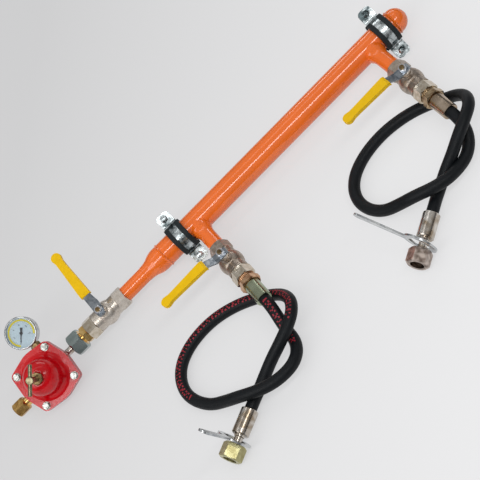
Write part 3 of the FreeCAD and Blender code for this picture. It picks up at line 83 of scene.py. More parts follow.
# How finely a hose is drawn, along its curve and round its section
HOSE_STEPS = 10

# The printed band: its turn round the hose in degrees, its height over the cover in metres, the share of its
# width that one row of marks takes, and the seed of the first row
PRINT_TURN = -90.0
PRINT_LIFT = 0.00008
PRINT_ROW_SHARE = 0.3
PRINT_SEED = 5
# Each row of the band: how far off the middle, as a share of the width, and its pitch against the setting
PRINT_ROWS = ((-0.34, 1.0), (0.0, 1.8), (0.34, 1.15))
# Where the printed band shows, in metres along the hose
PRINT_RUNS = ((0.006, 0.1), (0.33, 0.7))

# Which way the regulator's face and its gauge look, the gauge's middle in metres and its turn in degrees
FACE_NORMAL = Vector((0, -0.573576, 0.819152))
GAUGE_CENTRE = Vector((-0.35945, 0.1221, 0.08097))
REGULATOR_TURN = 2.4
# Where the dial's sweep starts, in degrees
DIAL_START = 222.0

# The dial's print in metres: the ring's two faces over the dial, the ink's middle and thickness, how far the
# strokes and the numbers stand in from the ring, and each row's steps to a stroke, stroke length and width
RING_HEIGHTS = (0.00002, 0.00012)
INK_HEIGHT = 0.00006
INK_THICK = 0.00008
STROKE_INSET = 0.0006
NUMERAL_INSET = 0.0062
NUMERAL_SIZE = 0.0046
DIAL_NUMBERS = (0, 2, 4, 6, 8, 10)
DIAL_STROKES = {"dial_steps": (1, 0.0012, 0.00016), "dial_majors": (5, 0.0022, 0.0003)}

# The hose adapters' thread crests in millimetres: where they start, and which way a ring's first corner looks
THREAD_START = -103.0
THREAD_COUNT = 5
THREAD_PITCH = 1.2
THREAD_RADIUS = 14.5
THREAD_BEAD = 0.45
THREAD_SIDE = (0.1, 0.3, 1)

# The floor, in metres. Along SHADE_WAY, which runs across the picture, its colour rises from SHADE_DEPTH of
# the setting to the whole of it, a painted shade that darkens one side. GLOW_SHARE of what the camera sees of
# it is its own glow
FLOOR_REACH = 40.0
FLOOR_HEIGHT = -0.0006
SHADE_WAY = (0.765, -0.643)
SHADE_REACH = 0.5
SHADE_DEPTH = 0.78
GLOW_SHARE = 0.7
BLACK = (0.0, 0.0, 0.0, 1.0)

# Each lamp's place and size in metres, and its share of a power in the settings
LAMPS = {
    "strip_lamp": ((0, -0.82, 1.43), (2.6, 0.2), "strip_power", 1.0),
    "wide_lamp": ((0, 0.53, 1.55), (2.6, 0.16), "strip_power", 0.16),
    "box_lamp": ((-1.5, -0.5, 1.1), (1.1, 1.1), "box_power", 1.0),
    "back_lamp": ((0.9, 1.5, 0.8), (1.4, 0.25), "strip_power", 0.3),
}
# The room's light by height, from the horizon to straight up
ROOM_STOPS = ((0.0, (0.05, 0.05, 0.06, 1)), (0.22, (0.26, 0.26, 0.28, 1)), (0.5, (0.95, 0.95, 0.95, 1)),
              (1.0, (1.0, 1.0, 1.0, 1)))


def linear(red, green, blue):
    """A colour given as it shows on a screen, 0 to 255, as the shaders want it."""
    def one(value):
        value /= 255
        return value / 12.92 if value <= 0.04045 else ((value + 0.055) / 1.055) ** 2.4
    return (one(red), one(green), one(blue), 1.0)


def darker(shade, amount):
    return tuple(channel * amount for channel in shade[:3]) + (1.0,)


# Settings that a user would change


def colour_setting(label, words, shade):
    return FloatVectorProperty(name=label, description=words, subtype="COLOR", size=4, min=0, max=1,
                               default=shade)


class PaintSettings(bpy.types.PropertyGroup):
    pipe: colour_setting("Pipe paint", "Gloss paint of the header and its branches", linear(250, 116, 30))
    body: colour_setting("Regulator paint", "Gloss paint of the regulator's castings", linear(208, 0, 16))
    grip: colour_setting("Lever sleeve", "Dipped sleeve of the valve levers", linear(244, 196, 0))


class HoseSettings(bpy.types.PropertyGroup):
    diameter: FloatProperty(name="Diameter", description="Outside diameter of a hose", default=0.0193,
                            min=0.005, unit="LENGTH")
    band_arc: FloatProperty(name="Band width", description="Arc that the printed marks cover",
                            default=math.radians(52), min=0.05, max=3, subtype="ANGLE")
    mark_pitch: FloatProperty(name="Mark pitch", description="Distance from one printed mark to the next",
                              default=0.0056, min=0.001, unit="LENGTH")
    mark_length: FloatProperty(name="Mark length", description="Length of a printed mark along the hose",
                               default=0.004, min=0.0005, unit="LENGTH")
    mark_shade: colour_setting("Mark colour", "Ink of the printed marks", linear(150, 24, 42))


class DialSettings(bpy.types.PropertyGroup):
    ring_radius: FloatProperty(name="Ring radius", description="Outer radius of the coloured ring",
                               default=0.0232, min=0.005, unit="LENGTH")
    ring_width: FloatProperty(name="Ring width", description="Width of the coloured ring", default=0.003,
                              min=0.0002, unit="LENGTH")
    ring_shade: colour_setting("Ring colour", "Colour of the dial's ring", linear(238, 222, 0))
    steps: IntProperty(name="Steps", description="Graduations over the dial's sweep", default=50, min=2)
    sweep: FloatProperty(name="Sweep", description="Angle from the first to the last graduation",
                         default=math.radians(270), min=0.5, max=6.2, subtype="ANGLE")


class StageSettings(bpy.types.PropertyGroup):
    floor: colour_setting("Floor", "Colour of the floor and backdrop", linear(240, 240, 241))
    strip_power: FloatProperty(name="Strip lamp", description="Power of the long lamp overhead", default=13.0,
                               min=0, unit="POWER")
    box_power: FloatProperty(name="Box lamp", description="Power of the soft box at the side", default=8.0,
                             min=0, unit="POWER")
    sky: FloatProperty(name="Room light", description="Strength of the light from all round", default=0.42,
                       min=0)


class ManifoldSettings(bpy.types.PropertyGroup):
    paint: PointerProperty(type=PaintSettings)
    hose: PointerProperty(type=HoseSettings)
    dial: PointerProperty(type=DialSettings)
    stage: PointerProperty(type=StageSettings)


def settings():
    return bpy.context.scene.manifold_settings


# Node trees


class Value:
    """A socket of a node tree, with Python's arithmetic."""

    def __init__(self, nodes, socket):
        self.nodes, self.socket = nodes, socket

    def __add__(self, other):
        return self.nodes.maths("ADD", self, other)

    def __sub__(self, other):
        return self.nodes.maths("SUBTRACT", self, other)

    def __rsub__(self, other):
        return self.nodes.maths("SUBTRACT", other, self)

    def __mul__(self, other):
        return self.nodes.maths("MULTIPLY", self, other)

    __radd__ = __add__
    __rmul__ = __mul__


class Nodes:
    """A node tree, and the one way to add to it."""

    def __init__(self, tree):
        self.tree = tree
        tree.nodes.clear()

    def feed(self, place, value):
        """Links a value or a socket to a node's input, or sets the input to a number."""
        if isinstance(value, Value):
            value = value.socket
        if isinstance(value, bpy.types.NodeSocket):
            self.tree.links.new(value, place)
        else:
            place.default_value = value

    def node(self, kind, choices=None, stops=(), numbered=None, **named):
        """The outputs of a new node. Its choices and its ramp's stops are set first, then its inputs."""
        node = self.tree.nodes.new(kind)
        for key, value in (choices or {}).items():
            setattr(node, key, value)
        if stops:
            ramp = node.color_ramp.elements
            while len(ramp) < len(stops):
                ramp.new(1)
            for element, (spot, shade) in zip(ramp, stops):
                element.position, element.color = spot, shade
        for number, value in (numbered or {}).items():
            self.feed(node.inputs[number], value)
        for name, value in named.items():
            self.feed(node.inputs[name.replace("_", " ")], value)
        return node.outputs

    def maths(self, operation, *values):
        """What a Math node makes of these values."""
        return Value(self, self.node("ShaderNodeMath", {"operation": operation},
                                     numbered=dict(enumerate(values)))[0])


class Finish(Nodes):
    """A material that is built node by node."""

    def __init__(self, name):
        self.material = bpy.data.materials.new(name)
        self.material.use_nodes = True
        super().__init__(self.material.node_tree)
        self.place = self.node("ShaderNodeTexCoord")["Object"]

    def noise(self, grain, detail=2.0, stretch=None, distortion=0.0):
        """Noise whose grain is given in metres, from 0 to 1."""
        place = self.place
        if stretch:
            place = self.node("ShaderNodeMapping", Vector=place, Scale=stretch)["Vector"]
        return Value(self, self.node("ShaderNodeTexNoise", Vector=place, Scale=1 / grain, Detail=detail,
                                     Distortion=distortion)["Fac"])

    def mask(self, value, low, high):
        """The value spread so that low gives 0 and high gives 1."""
        return Value(self, self.node("ShaderNodeMapRange", Value=value, From_Min=low,
                                     From_Max=high)["Result"])

    def mix(self, mask, first, second):
        """One colour where the mask is 0 and the other where it is 1."""
        # With colours, the Mix node reads its inputs 0, 6 and 7 and gives its output 2
        return Value(self, self.node("ShaderNodeMix", {"data_type": "RGBA"},
                                     numbered={0: mask, 6: first, 7: second})[2])

    def bump(self, height, depth):
        """A normal bent by a height from 0 to 1, which stands for the depth in metres."""
        return self.node("ShaderNodeBump", Height=height, Distance=depth, Strength=1.0)["Normal"]

    def shader(self, **feeds):
        return self.node("ShaderNodeBsdfPrincipled", **feeds)["BSDF"]

    def closed(self, surface):
        """The finished material, with this shader on its surface."""
        self.node("ShaderNodeOutputMaterial", Surface=surface)
        return self.material

    def shaded(self, **feeds):
        """The finished material, made of one principled shader."""
        return self.closed(self.shader(**feeds))


class Shape(Nodes):
    """A geometry node tree with named inputs, which ends as plain faces of one material."""

    def __init__(self, name, **inputs):
        super().__init__(bpy.data.node_groups.new(name, "GeometryNodeTree"))
        sockets = self.tree.interface
        sockets.new_socket("Geometry", in_out="INPUT", socket_type="NodeSocketGeometry")
        for label, start in inputs.items():
            kind = "NodeSocketInt" if isinstance(start, int) else "NodeSocketFloat"
            socket = sockets.new_socket(label.replace("_", " "), in_out="INPUT", socket_type=kind)
            socket.default_value = start
        sockets.new_socket("Material", in_out="INPUT", socket_type="NodeSocketMaterial")
        sockets.new_socket("Geometry", in_out="OUTPUT", socket_type="NodeSocketGeometry")
        self.given = self.node("NodeGroupInput")

    def closed(self, geometry):
        """The finished tree: faces in place of instances, with the material set."""
        real = self.node("GeometryNodeRealizeInstances", Geometry=geometry)[0]
        coat = self.node("GeometryNodeSetMaterial", Geometry=real, Material=self.given["Material"])[0]
        self.node("NodeGroupOutput", Geometry=coat)
        return self.tree


# Finishes


def gloss_paint(name, shade):
    """Gloss enamel: an even colour with a faint orange peel."""
    made = Finish(name)
    cloud = made.mask(made.noise(0.06, 3), 0.35, 0.65)
    peel = made.noise(0.0035, 2)
    return made.shaded(Base_Color=made.mix(cloud, darker(shade, 0.95), shade), Roughness=0.12 + 0.04 * cloud,
                       Normal=made.bump(peel, 0.000002), Specular_IOR_Level=0.85)


def cast_paint(name, shade):
    """Gloss enamel over a cast surface, thinner on the high grain."""
    made = Finish(name)
    cloud = made.mask(made.noise(0.02, 3), 0.3, 0.7)
    skin = made.noise(0.0028, 4)
    return made.shaded(Base_Color=made.mix(cloud, darker(shade, 0.8), shade), Roughness=0.17 + 0.08 * cloud,
                       Normal=made.bump(skin, 0.00008), Specular_IOR_Level=0.42)


def plated(name, shade, stain, rough=0.3, grain=0.0012, depth=0.00002, cloud_size=0.008, stretch=None):
    """A metal with a cloudy tint, a fine grain and uneven gloss."""
    made = Finish(name)
    cloud = made.mask(made.noise(cloud_size, 1, distortion=0.4), 0.32, 0.68)
    fine = made.noise(grain, 3, stretch)
    return made.shaded(Base_Color=made.mix(cloud, stain, shade), Metallic=1.0,
                       Roughness=rough + 0.04 * (fine - 0.5), Normal=made.bump(fine, depth))


def blasted(name, shade, stain):
    """Nickel over a blasted brass forging: a coarse grain with darker pits."""
    made = Finish(name)
    cloud = made.mask(made.noise(0.009, 4), 0.3, 0.7)
    grain = made.noise(0.0011, 4)
    pits = made.mask(grain, 0.28, 0.5)
    tone = made.mix(cloud, stain, shade)
    return made.shaded(Base_Color=made.mix(pits, darker(stain, 0.7), tone), Metallic=0.95,
                       Roughness=0.36 + 0.16 * (1 - pits), Normal=made.bump(grain, 0.00006))


def zinc_spangle(name, shade, stain):
    """Bright zinc: small crystals that each shine a little differently."""
    made = Finish(name)
    cells = made.node("ShaderNodeTexVoronoi", Vector=made.place, Scale=300.0)["Color"]
    tint = Value(made, made.node("ShaderNodeSeparateColor", Color=cells)["Red"])
    patch = made.mask(made.noise(0.016, 2, distortion=0.3) + 0.1 * tint, 0.42, 0.66)
    wave = made.noise(0.012, 1)
    return made.shaded(Base_Color=made.mix(patch, stain, shade), Metallic=1.0, Roughness=0.24 + 0.1 * tint,
                       Normal=made.bump(wave, 0.0004))


def moulded_rubber(name, shade, rough=0.55, grain=0.0009, depth=0.00003):
    """Black rubber with a dusty bloom in its grain."""
    made = Finish(name)
    bloom = made.mask(made.noise(0.012, 4), 0.4, 0.75)
    fine = made.noise(grain, 3)
    return made.shaded(Base_Color=made.mix(bloom, shade, darker(shade, 1.4)),
                       Roughness=rough + 0.15 * bloom, Normal=made.bump(fine, depth), Specular_IOR_Level=0.2)


def dipped_sleeve(name, shade):
    """Thick dipped plastic: even, waxy and a little wavy."""
    made = Finish(name)
    cloud = made.mask(made.noise(0.01, 2), 0.3, 0.7)
    wave = made.noise(0.006, 1)
    return made.shaded(Base_Color=made.mix(cloud, darker(shade, 0.92), shade), Roughness=0.34 + 0.08 * cloud,
                       Normal=made.bump(wave, 0.00012), Specular_IOR_Level=0.25)


def plain_finish(name, shade, rough, speck=0.003):
    """A matt surface with a faint mottle."""
    made = Finish(name)
    cloud = made.mask(made.noise(speck, 2), 0.3, 0.7)
    return made.shaded(Base_Color=made.mix(cloud, darker(shade, 0.95), shade), Roughness=rough + 0.05 * cloud)


def clear_glass(name):
    """The gauge's window: nearly all see-through, with a gloss."""
    made = Finish(name)
    dust = made.mask(made.noise(0.01, 3), 0.35, 0.75)
    return made.shaded(Base_Color=(0.2, 0.24, 0.28, 1.0), Roughness=0.03 + 0.05 * dust,
                       Alpha=0.05 + 0.03 * dust)


def floor_paper(name, shade):
    """Matt paper with a painted shade, darker at one side. To the camera and in gloss and glass it glows a
    little by itself.
    """
    made = Finish(name)
    place = made.node("ShaderNodeSeparateXYZ", Vector=made.place)
    across = SHADE_WAY[0] * Value(made, place["X"]) + SHADE_WAY[1] * Value(made, place["Y"])
    # Painted shade: a ramp darkens the floor's colour towards one side, where the lamps would not darken it
    paper = made.mix(made.mask(across, -SHADE_REACH, SHADE_REACH), darker(shade, SHADE_DEPTH), shade)
    matt = made.shader(Base_Color=paper, Roughness=1.0, Specular_IOR_Level=0.0)
    glow = made.shader(Base_Color=BLACK, Roughness=1.0, Specular_IOR_Level=0.0, Emission_Color=paper,
                       Emission_Strength=1.0)
    rays = made.node("ShaderNodeLightPath")
    seen = made.maths("MAXIMUM", rays["Is Camera Ray"], rays["Is Glossy Ray"])
    seen = made.maths("MAXIMUM", seen, rays["Is Transmission Ray"])
    return made.closed(made.node("ShaderNodeMixShader", numbered={0: GLOW_SHARE * seen, 1: matt, 2: glow})[0])


# Plain metals: name, colour, stain, roughness, then the sizes in metres of grain, grain depth and clouds
METALS = {
    "lever": ("lever_zinc", (168, 174, 180), (112, 120, 128), 0.32, 0.0015, 0.00001),
    "union": ("union_zinc", (176, 188, 186), (146, 158, 156), 0.26, 0.001, 0.000006, 0.02),
    "bolt": ("bolt_zinc", (196, 198, 194), (112, 114, 108), 0.34, 0.001, 0.000006, 0.004),
    "nickel_turned": ("nickel_turned", (222, 212, 196), (186, 172, 150), 0.2),
    "brass": ("turned_brass", (246, 210, 140), (222, 178, 104), 0.2, 0.0014, 0.00001),
    "brass_cast": ("brass_pressed", (226, 186, 116), (178, 134, 74), 0.26, 0.0012, 0.00002),
    "brass_dark": ("aged_brass", (150, 128, 92), (104, 84, 58), 0.38),
    "olive": ("bar_zinc", (150, 144, 116), (104, 98, 76), 0.3, 0.001, 0.00001, 0.005, (0.2, 1.0, 1.0)),
    "copper": ("passivated_copper", (216, 178, 142), (168, 124, 92), 0.26),
    "bronze": ("passivated_bronze", (188, 166, 134), (146, 122, 94), 0.24),
    "brown_zinc": ("passivated_brown", (198, 184, 174), (104, 88, 78), 0.3, 0.001, 0.000004, 0.009),
    "green": ("passivated_green", (176, 184, 158), (142, 150, 124), 0.24, 0.0016, 0.000004, 0.03),
    "tan": ("passivated_tan", (202, 184, 164), (150, 132, 112), 0.24, 0.0016, 0.000004, 0.03),
    "gold": ("passivated_gold", (204, 200, 154), (156, 148, 104), 0.34, 0.001, 0.000006, 0.012),
    "steel": ("turned_steel", (226, 222, 216), (158, 142, 122), 0.22, 0.001, 0.000001, 0.016),
    "blade": ("spanner_steel", (206, 208, 208), (162, 166, 170), 0.26, 0.002, 0.000006, 0.014),
    "rim": ("gauge_rim", (206, 208, 208), (150, 154, 158), 0.27, 0.001, 0.000002),
    "spring": ("spring_wire", (140, 142, 146), (96, 98, 102), 0.3),
    "chrome": ("ball_chrome", (228, 230, 234), (200, 204, 210), 0.2, 0.002, 0.000002),
}


def make_finishes():
    """Every finish by its name."""
    paint = settings().paint
    made = {key: plated(name, linear(*shade), linear(*stain), *sizes)
            for key, (name, shade, stain, *sizes) in METALS.items()}
    made.update({
        "pipe": gloss_paint("pipe_enamel", paint.pipe),
        "cast": cast_paint("regulator_enamel", paint.body),
        "zinc": zinc_spangle("bright_zinc", linear(214, 222, 224), linear(74, 84, 86)),
        "nickel": blasted("nickel_forging", linear(230, 222, 212), linear(196, 186, 174)),
        "nickel_brown": blasted("nickel_forging_worn", linear(196, 184, 172), linear(150, 136, 122)),
        "rubber": moulded_rubber("liner_rubber", linear(32, 38, 40)),
        "hose": moulded_rubber("hose_cover", linear(15, 18, 21), 0.46, 0.0007, 0.00004),
        "sleeve": dipped_sleeve("lever_sleeve", paint.grip),
        "seat": plain_finish("seat_plastic", linear(236, 236, 232), 0.4),
        "dial": plain_finish("dial_face", linear(200, 222, 232), 0.5, 0.01),
        "ink": plain_finish("dial_ink", linear(34, 40, 52), 0.5),
        "needle": plain_finish("needle_black", linear(24, 24, 26), 0.4),
        "ring": plain_finish("dial_ring", settings().dial.ring_shade, 0.5),
        "mark": plain_finish("hose_ink", settings().hose.mark_shade, 0.55),
        "glass": clear_glass("gauge_glass"),
    })
    return made


NODE_FINISH = {
    "pipe": ["header_pipe", "end_cap", "reducer", "inlet_pipe", "branch_stubs"],
    "cast": ["regulator_body", "regulator_bonnet"],
    "zinc": ["clamp_fronts", "clamp_backs", "clamp_screws"],
    "lever": ["lever_main", "lever_a", "lever_b"],
    "bolt": ["flange_bolts"],
    "chrome": ["valve_ball_main", "valve_ball_a", "valve_ball_b", "lever_nut_main", "lever_nut_a",
               "lever_nut_b"],
    "union": ["union_nut"],
    "nickel": ["valve_body_main", "packing_nuts"],
    "nickel_brown": ["valve_body_a", "valve_body_b"],
    "nickel_turned": ["valve_retainers"],
    "brass": ["inlet_nipple", "outlet_stub", "valve_plunger"],
    "brass_cast": ["outlet_nut"],
    "brass_dark": ["gauge_block", "bonnet_nut", "valve_stem_main", "valve_stem_a", "valve_stem_b"],
    "olive": ["tee_bar", "adjusting_screw"],
    "steel": ["tailpiece", "hose_end_a", "hose_end_b"],
    "blade": ["spanner_a", "spanner_b"],
    "rim": ["gauge_case"],
    "spring": ["range_spring", "spring_plate"],
    "rubber": ["clamp_liners", "diaphragm"],
    "hose": ["hose_a", "hose_b"],
    "sleeve": ["lever_grip_main", "lever_grip_a", "lever_grip_b"],
    "seat": ["valve_seats"],
    "dial": ["gauge_dial"],
    "needle": ["gauge_pointer"],
    "glass": ["gauge_lens"],
    "gold": ["end_nut_a"],
    "brown_zinc": ["end_nut_b"],
}
# Nodes of two like solids whose real pieces have different plating, and the x in metres that parts them
SPLIT_FINISH = {"start_ferrules": ("green", "tan"), "hose_adapters": ("copper", "bronze")}
SPLIT_X = 0.18
finishes = {}


def dress(piece, finish):
    piece.data.materials.clear()
    piece.data.materials.append(finishes[finish])


# Shapes


def ring_row_tree():
    """Like rings in a row along Z, as the crests of a thread are."""
    shape = Shape("ring_row", Count=6, Pitch=0.0018, Ring_Radius=0.01, Bead_Radius=0.0006)
    given = shape.given
    step = shape.node("ShaderNodeCombineXYZ", Z=given["Pitch"])[0]
    spots = shape.node("GeometryNodeMeshLine", Count=given["Count"], Offset=step)[0]
    loop = shape.node("GeometryNodeCurvePrimitiveCircle", Resolution=72, Radius=given["Ring Radius"])[0]
    bead = shape.node("GeometryNodeCurvePrimitiveCircle", Resolution=12, Radius=given["Bead Radius"])[0]
    ring = shape.node("GeometryNodeCurveToMesh", Curve=loop, Profile_Curve=bead)[0]
    return shape.closed(shape.node("GeometryNodeInstanceOnPoints", Points=spots, Instance=ring)[0])


def dial_mark_tree():
    """Flat graduation strokes on an arc about Z."""
    shape = Shape("dial_marks", Count=11, Sweep=4.7, Start=0.0, Radius=0.018, Length=0.002, Width=0.0003,
                  Thickness=0.00008)
    given = shape.given
    spots = shape.node("GeometryNodeMeshLine", Count=given["Count"], Offset=(0, 0, 0))[0]
    index = shape.node("GeometryNodeInputIndex")[0]
    share = shape.maths("DIVIDE", index, shape.maths("SUBTRACT", given["Count"], 1.0))
    turn = shape.maths("MULTIPLY_ADD", share, given["Sweep"], given["Start"])
    spin = shape.node("ShaderNodeCombineXYZ", Z=turn)[0]
    size = shape.node("ShaderNodeCombineXYZ", X=given["Length"], Y=given["Width"], Z=given["Thickness"])[0]
    stroke = shape.node("GeometryNodeMeshCube", Size=size)[0]
    reach = shape.node("ShaderNodeCombineXYZ", X=given["Radius"])[0]
    outward = shape.node("GeometryNodeTransform", Geometry=stroke, Translation=reach)[0]
    return shape.closed(shape.node("GeometryNodeInstanceOnPoints", Points=spots, Instance=outward,
                                   Rotation=spin)[0])


def printed_band_tree():
    """Short marks printed along a hose, each a bent patch that lies on the cover."""
    shape = Shape("printed_band", Count=100, Pitch=0.005, Mark_Length=0.003, Radius=0.0097, Arc=0.6, Lean=0.0,
                  Seed=5, First=0.0)
    given = shape.given
    line = shape.node("GeometryNodeSetCurveNormal", {"mode": "Z_UP"}, Curve=given["Geometry"])[0]
    copies = shape.node("GeometryNodeDuplicateElements", {"domain": "SPLINE"}, Geometry=line,
                        Amount=given["Count"])
    number = copies["Duplicate Index"]
    low = shape.maths("MULTIPLY_ADD", number, given["Pitch"], given["First"])
    ragged = shape.node("FunctionNodeRandomValue", {"data_type": "FLOAT"}, Min=0.3, Max=1.0, ID=number,
                        Seed=given["Seed"])[1]
    high = shape.maths("MULTIPLY_ADD", ragged, given["Mark Length"], low)
    # Trim Curve takes its start and end in metres at inputs 4 and 5
    cut = shape.node("GeometryNodeTrimCurve", {"mode": "LENGTH"}, numbered={4: low, 5: high},
                     Curve=copies["Geometry"])[0]
    fine = shape.node("GeometryNodeResampleCurve", Curve=cut, Count=4)[0]
    half = shape.maths("MULTIPLY_ADD", given["Arc"], -0.5, given["Lean"])
    patch = shape.node("GeometryNodeCurveArc", Resolution=6, Radius=given["Radius"], Start_Angle=half,
                       Sweep_Angle=given["Arc"])[0]
    return shape.closed(shape.node("GeometryNodeCurveToMesh", Curve=fine, Profile_Curve=patch)[0])


def linked(name, data):
    """A new object in the scene."""
    made = bpy.data.objects.new(name, data)
    bpy.context.scene.collection.objects.link(made)
    return made


def plain_mesh(maker):
    """The mesh that an object comes to once its modifiers or its text are worked out. The object goes."""
    bpy.context.view_layer.update()
    mesh = bpy.data.meshes.new_from_object(maker.evaluated_get(bpy.context.evaluated_depsgraph_get()))
    bpy.data.objects.remove(maker)
    return mesh


def made_by(tree, name, values, data=None):
    """The plain mesh that a tree makes from these named values."""
    maker = linked(name + "_maker", data or bpy.data.meshes.new(name + "_start"))
    modifier = maker.modifiers.new("shape", "NODES")
    modifier.node_group = tree
    for item in tree.interface.items_tree:
        if item.item_type == "SOCKET" and item.in_out == "INPUT" and item.name in values:
            modifier[item.identifier] = values[item.name]
    mesh = plain_mesh(maker)
    if not mesh.polygons:
        raise RuntimeError(name + " came out empty")
    return mesh


def placed(name, mesh, matrix=None, finish=None, smooth=True):
    """A piece whose mesh is put in its place, riding on the manifold."""
    if matrix is not None:
        mesh.transform(matrix)
    piece = linked(name, mesh)
    mesh.name = name
    if finish:
        dress(piece, finish)
    for face in mesh.polygons:
        face.use_smooth = smooth
    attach(piece, "manifold")


def facing(origin, forward, side=(1, 0, 0)):
    """A matrix with its Z along forward and its X as near to side as it can be."""
    forward = Vector(forward).normalized()
    side = Vector(side)
    side = (side - forward * side.dot(forward)).normalized()
    turn = Matrix((side, forward.cross(side), forward)).transposed()
    return Matrix.Translation(Vector(origin)) @ turn.to_4x4()


def arc_strip(inner, outer, low, high, start, sweep, steps=96):
    """A flat strip on an arc about Z, closed at both ends."""
    corners, faces = [], []
    for step in range(steps + 1):
        turn = start + sweep * step / steps
        x, y = math.cos(turn), math.sin(turn)
        corners += [(inner * x, inner * y, low), (outer * x, outer * y, low), (outer * x, outer * y, high),
                    (inner * x, inner * y, high)]
        here, there = 4 * step, 4 * (step + 1)
        for side in range(4 if step < steps else 0):
            after = (side + 1) % 4
            faces.append((here + side, there + side, there + after, here + after))
    faces += [(3, 2, 1, 0), tuple(4 * steps + side for side in range(4))]
    mesh = bpy.data.meshes.new("strip")
    mesh.from_pydata(corners, [], faces)
    work = bmesh.new()
    work.from_mesh(mesh)
    bmesh.ops.recalc_face_normals(work, faces=work.faces)
    work.to_mesh(mesh)
    work.free()
    return mesh


def hose_curve(name, key, thick):
    """An open spline along a hose's route, with a round section unless thick is 0."""
    curve = bpy.data.curves.new(name, "CURVE")
    curve.dimensions = "3D"
    spline = curve.splines.new("NURBS")
    route = HOSE_ROUTE[key]
    spline.points.add(len(route) - 1)
    for point, spot in zip(spline.points, route):
        point.co = tuple(value * MM for value in spot) + (1.0,)
    spline.order_u = 3
    spline.use_endpoint_u = True
    spline.resolution_u = curve.resolution_u = curve.render_resolution_u = HOSE_STEPS
    if thick:
        curve.bevel_depth = thick / 2
        curve.bevel_resolution = HOSE_STEPS
        curve.use_fill_caps = True
    return curve


# Operators


class PlaceCamera(bpy.types.Operator):
    """Sets the camera at the photograph's viewing angle"""
    bl_idname = "manifold.place_camera"
    bl_label = "Place camera"

    def execute(self, context):
        yaw, rise, roll = (math.radians(turn) for turn in (VIEW_YAW, VIEW_RISE, VIEW_ROLL))
        look = Vector((math.sin(yaw) * math.cos(rise), math.cos(yaw) * math.cos(rise), -math.sin(rise)))
        level = Vector((math.cos(yaw), -math.sin(yaw), 0))
        up = level.cross(look)
        right = level * math.cos(roll) + up * math.sin(roll)
        top = up * math.cos(roll) - level * math.sin(roll)
        lens = bpy.data.cameras.new("camera")
        lens.sensor_fit = "HORIZONTAL"
        lens.sensor_width = VIEW_SENSOR
        lens.lens = VIEW_LENS
        camera = linked("camera", lens)
        turn = Matrix((right, top, -look)).transposed().to_4x4()
        camera.matrix_world = Matrix.Translation(VIEW_TARGET - look * VIEW_DISTANCE) @ turn
        context.scene.camera = camera
        return {"FINISHED"}


class LayHoses(bpy.types.Operator):
    """Lays the two hoses along their routes"""
    bl_idname = "manifold.lay_hoses"
    bl_label = "Lay hoses"

    def execute(self, context):
        finishes.update(make_finishes())
        thick = settings().hose.diameter
        for key in HOSE_ROUTE:
            tube = linked("hose_tube_" + key, hose_curve("hose_tube_" + key, key, thick))
            tube.data.materials.append(finishes["hose"])
            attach(tube, "manifold")
            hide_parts("hose_" + key)
        return {"FINISHED"}


class PrintHose(bpy.types.Operator):
    """Prints a broken band of plain marks along the first hose"""
    bl_idname = "manifold.print_hose"
    bl_label = "Print hose"

    def execute(self, context):
        hose = settings().hose
        tree = printed_band_tree()
        rows = [(run, row) for run in PRINT_RUNS for row in PRINT_ROWS]
        for number, ((first, last), (share, pitch)) in enumerate(rows):
            pitch *= hose.mark_pitch
            name = "hose_print_%d" % (number + 1)
            mesh = made_by(tree, name, {
                "Count": int((last - first) / pitch), "Pitch": pitch, "Mark Length": hose.mark_length,
                "Radius": hose.diameter / 2 + PRINT_LIFT, "Arc": hose.band_arc * PRINT_ROW_SHARE,
                "Lean": math.radians(PRINT_TURN) + share * hose.band_arc, "Seed": PRINT_SEED + number,
                "First": first, "Material": finishes["mark"]}, hose_curve(name + "_line", "a", 0))
            placed(name, mesh)
        return {"FINISHED"}


class MarkDial(bpy.types.Operator):
    """Marks the gauge's dial with its ring, graduations and plain numbers"""
    bl_idname = "manifold.mark_dial"
    bl_label = "Mark dial"

    def execute(self, context):
        dial = settings().dial
        corners = [v.co for v in NODES["gauge_dial"].data.vertices]
        height = max((v - GAUGE_CENTRE).dot(FACE_NORMAL) for v in corners)
        at = facing(GAUGE_CENTRE + FACE_NORMAL * height, FACE_NORMAL)
        at = at @ Matrix.Rotation(math.radians(REGULATOR_TURN), 4, "Z")
        inner = dial.ring_radius - dial.ring_width
        start = math.radians(DIAL_START)
        ring = arc_strip(inner, dial.ring_radius, *RING_HEIGHTS, start, -dial.sweep)
        placed("dial_ring", ring, at, "ring", smooth=False)
        tree = dial_mark_tree()
        for name, (every, length, width) in DIAL_STROKES.items():
            mesh = made_by(tree, name, {
                "Count": dial.steps // every + 1, "Sweep": -dial.sweep, "Start": start,
                "Radius": inner - STROKE_INSET - length / 2, "Length": length, "Width": width,
                "Thickness": INK_THICK, "Material": finishes["ink"]})
            mesh.transform(Matrix.Translation((0, 0, INK_HEIGHT)))
            placed(name, mesh, at, smooth=False)
        radius = inner - NUMERAL_INSET
        for step, number in enumerate(DIAL_NUMBERS):
            turn = start - dial.sweep * step / (len(DIAL_NUMBERS) - 1)
            text = bpy.data.curves.new("numeral", "FONT")
            text.body = str(number)
            text.size = NUMERAL_SIZE
            text.align_x = text.align_y = "CENTER"
            text.extrude = INK_THICK / 2
            mesh = plain_mesh(linked("numeral", text))
            mesh.transform(Matrix.Translation((radius * math.cos(turn), radius * math.sin(turn), INK_HEIGHT)))
            placed("dial_number_%d" % number, mesh, at, "ink", smooth=False)
        return {"FINISHED"}


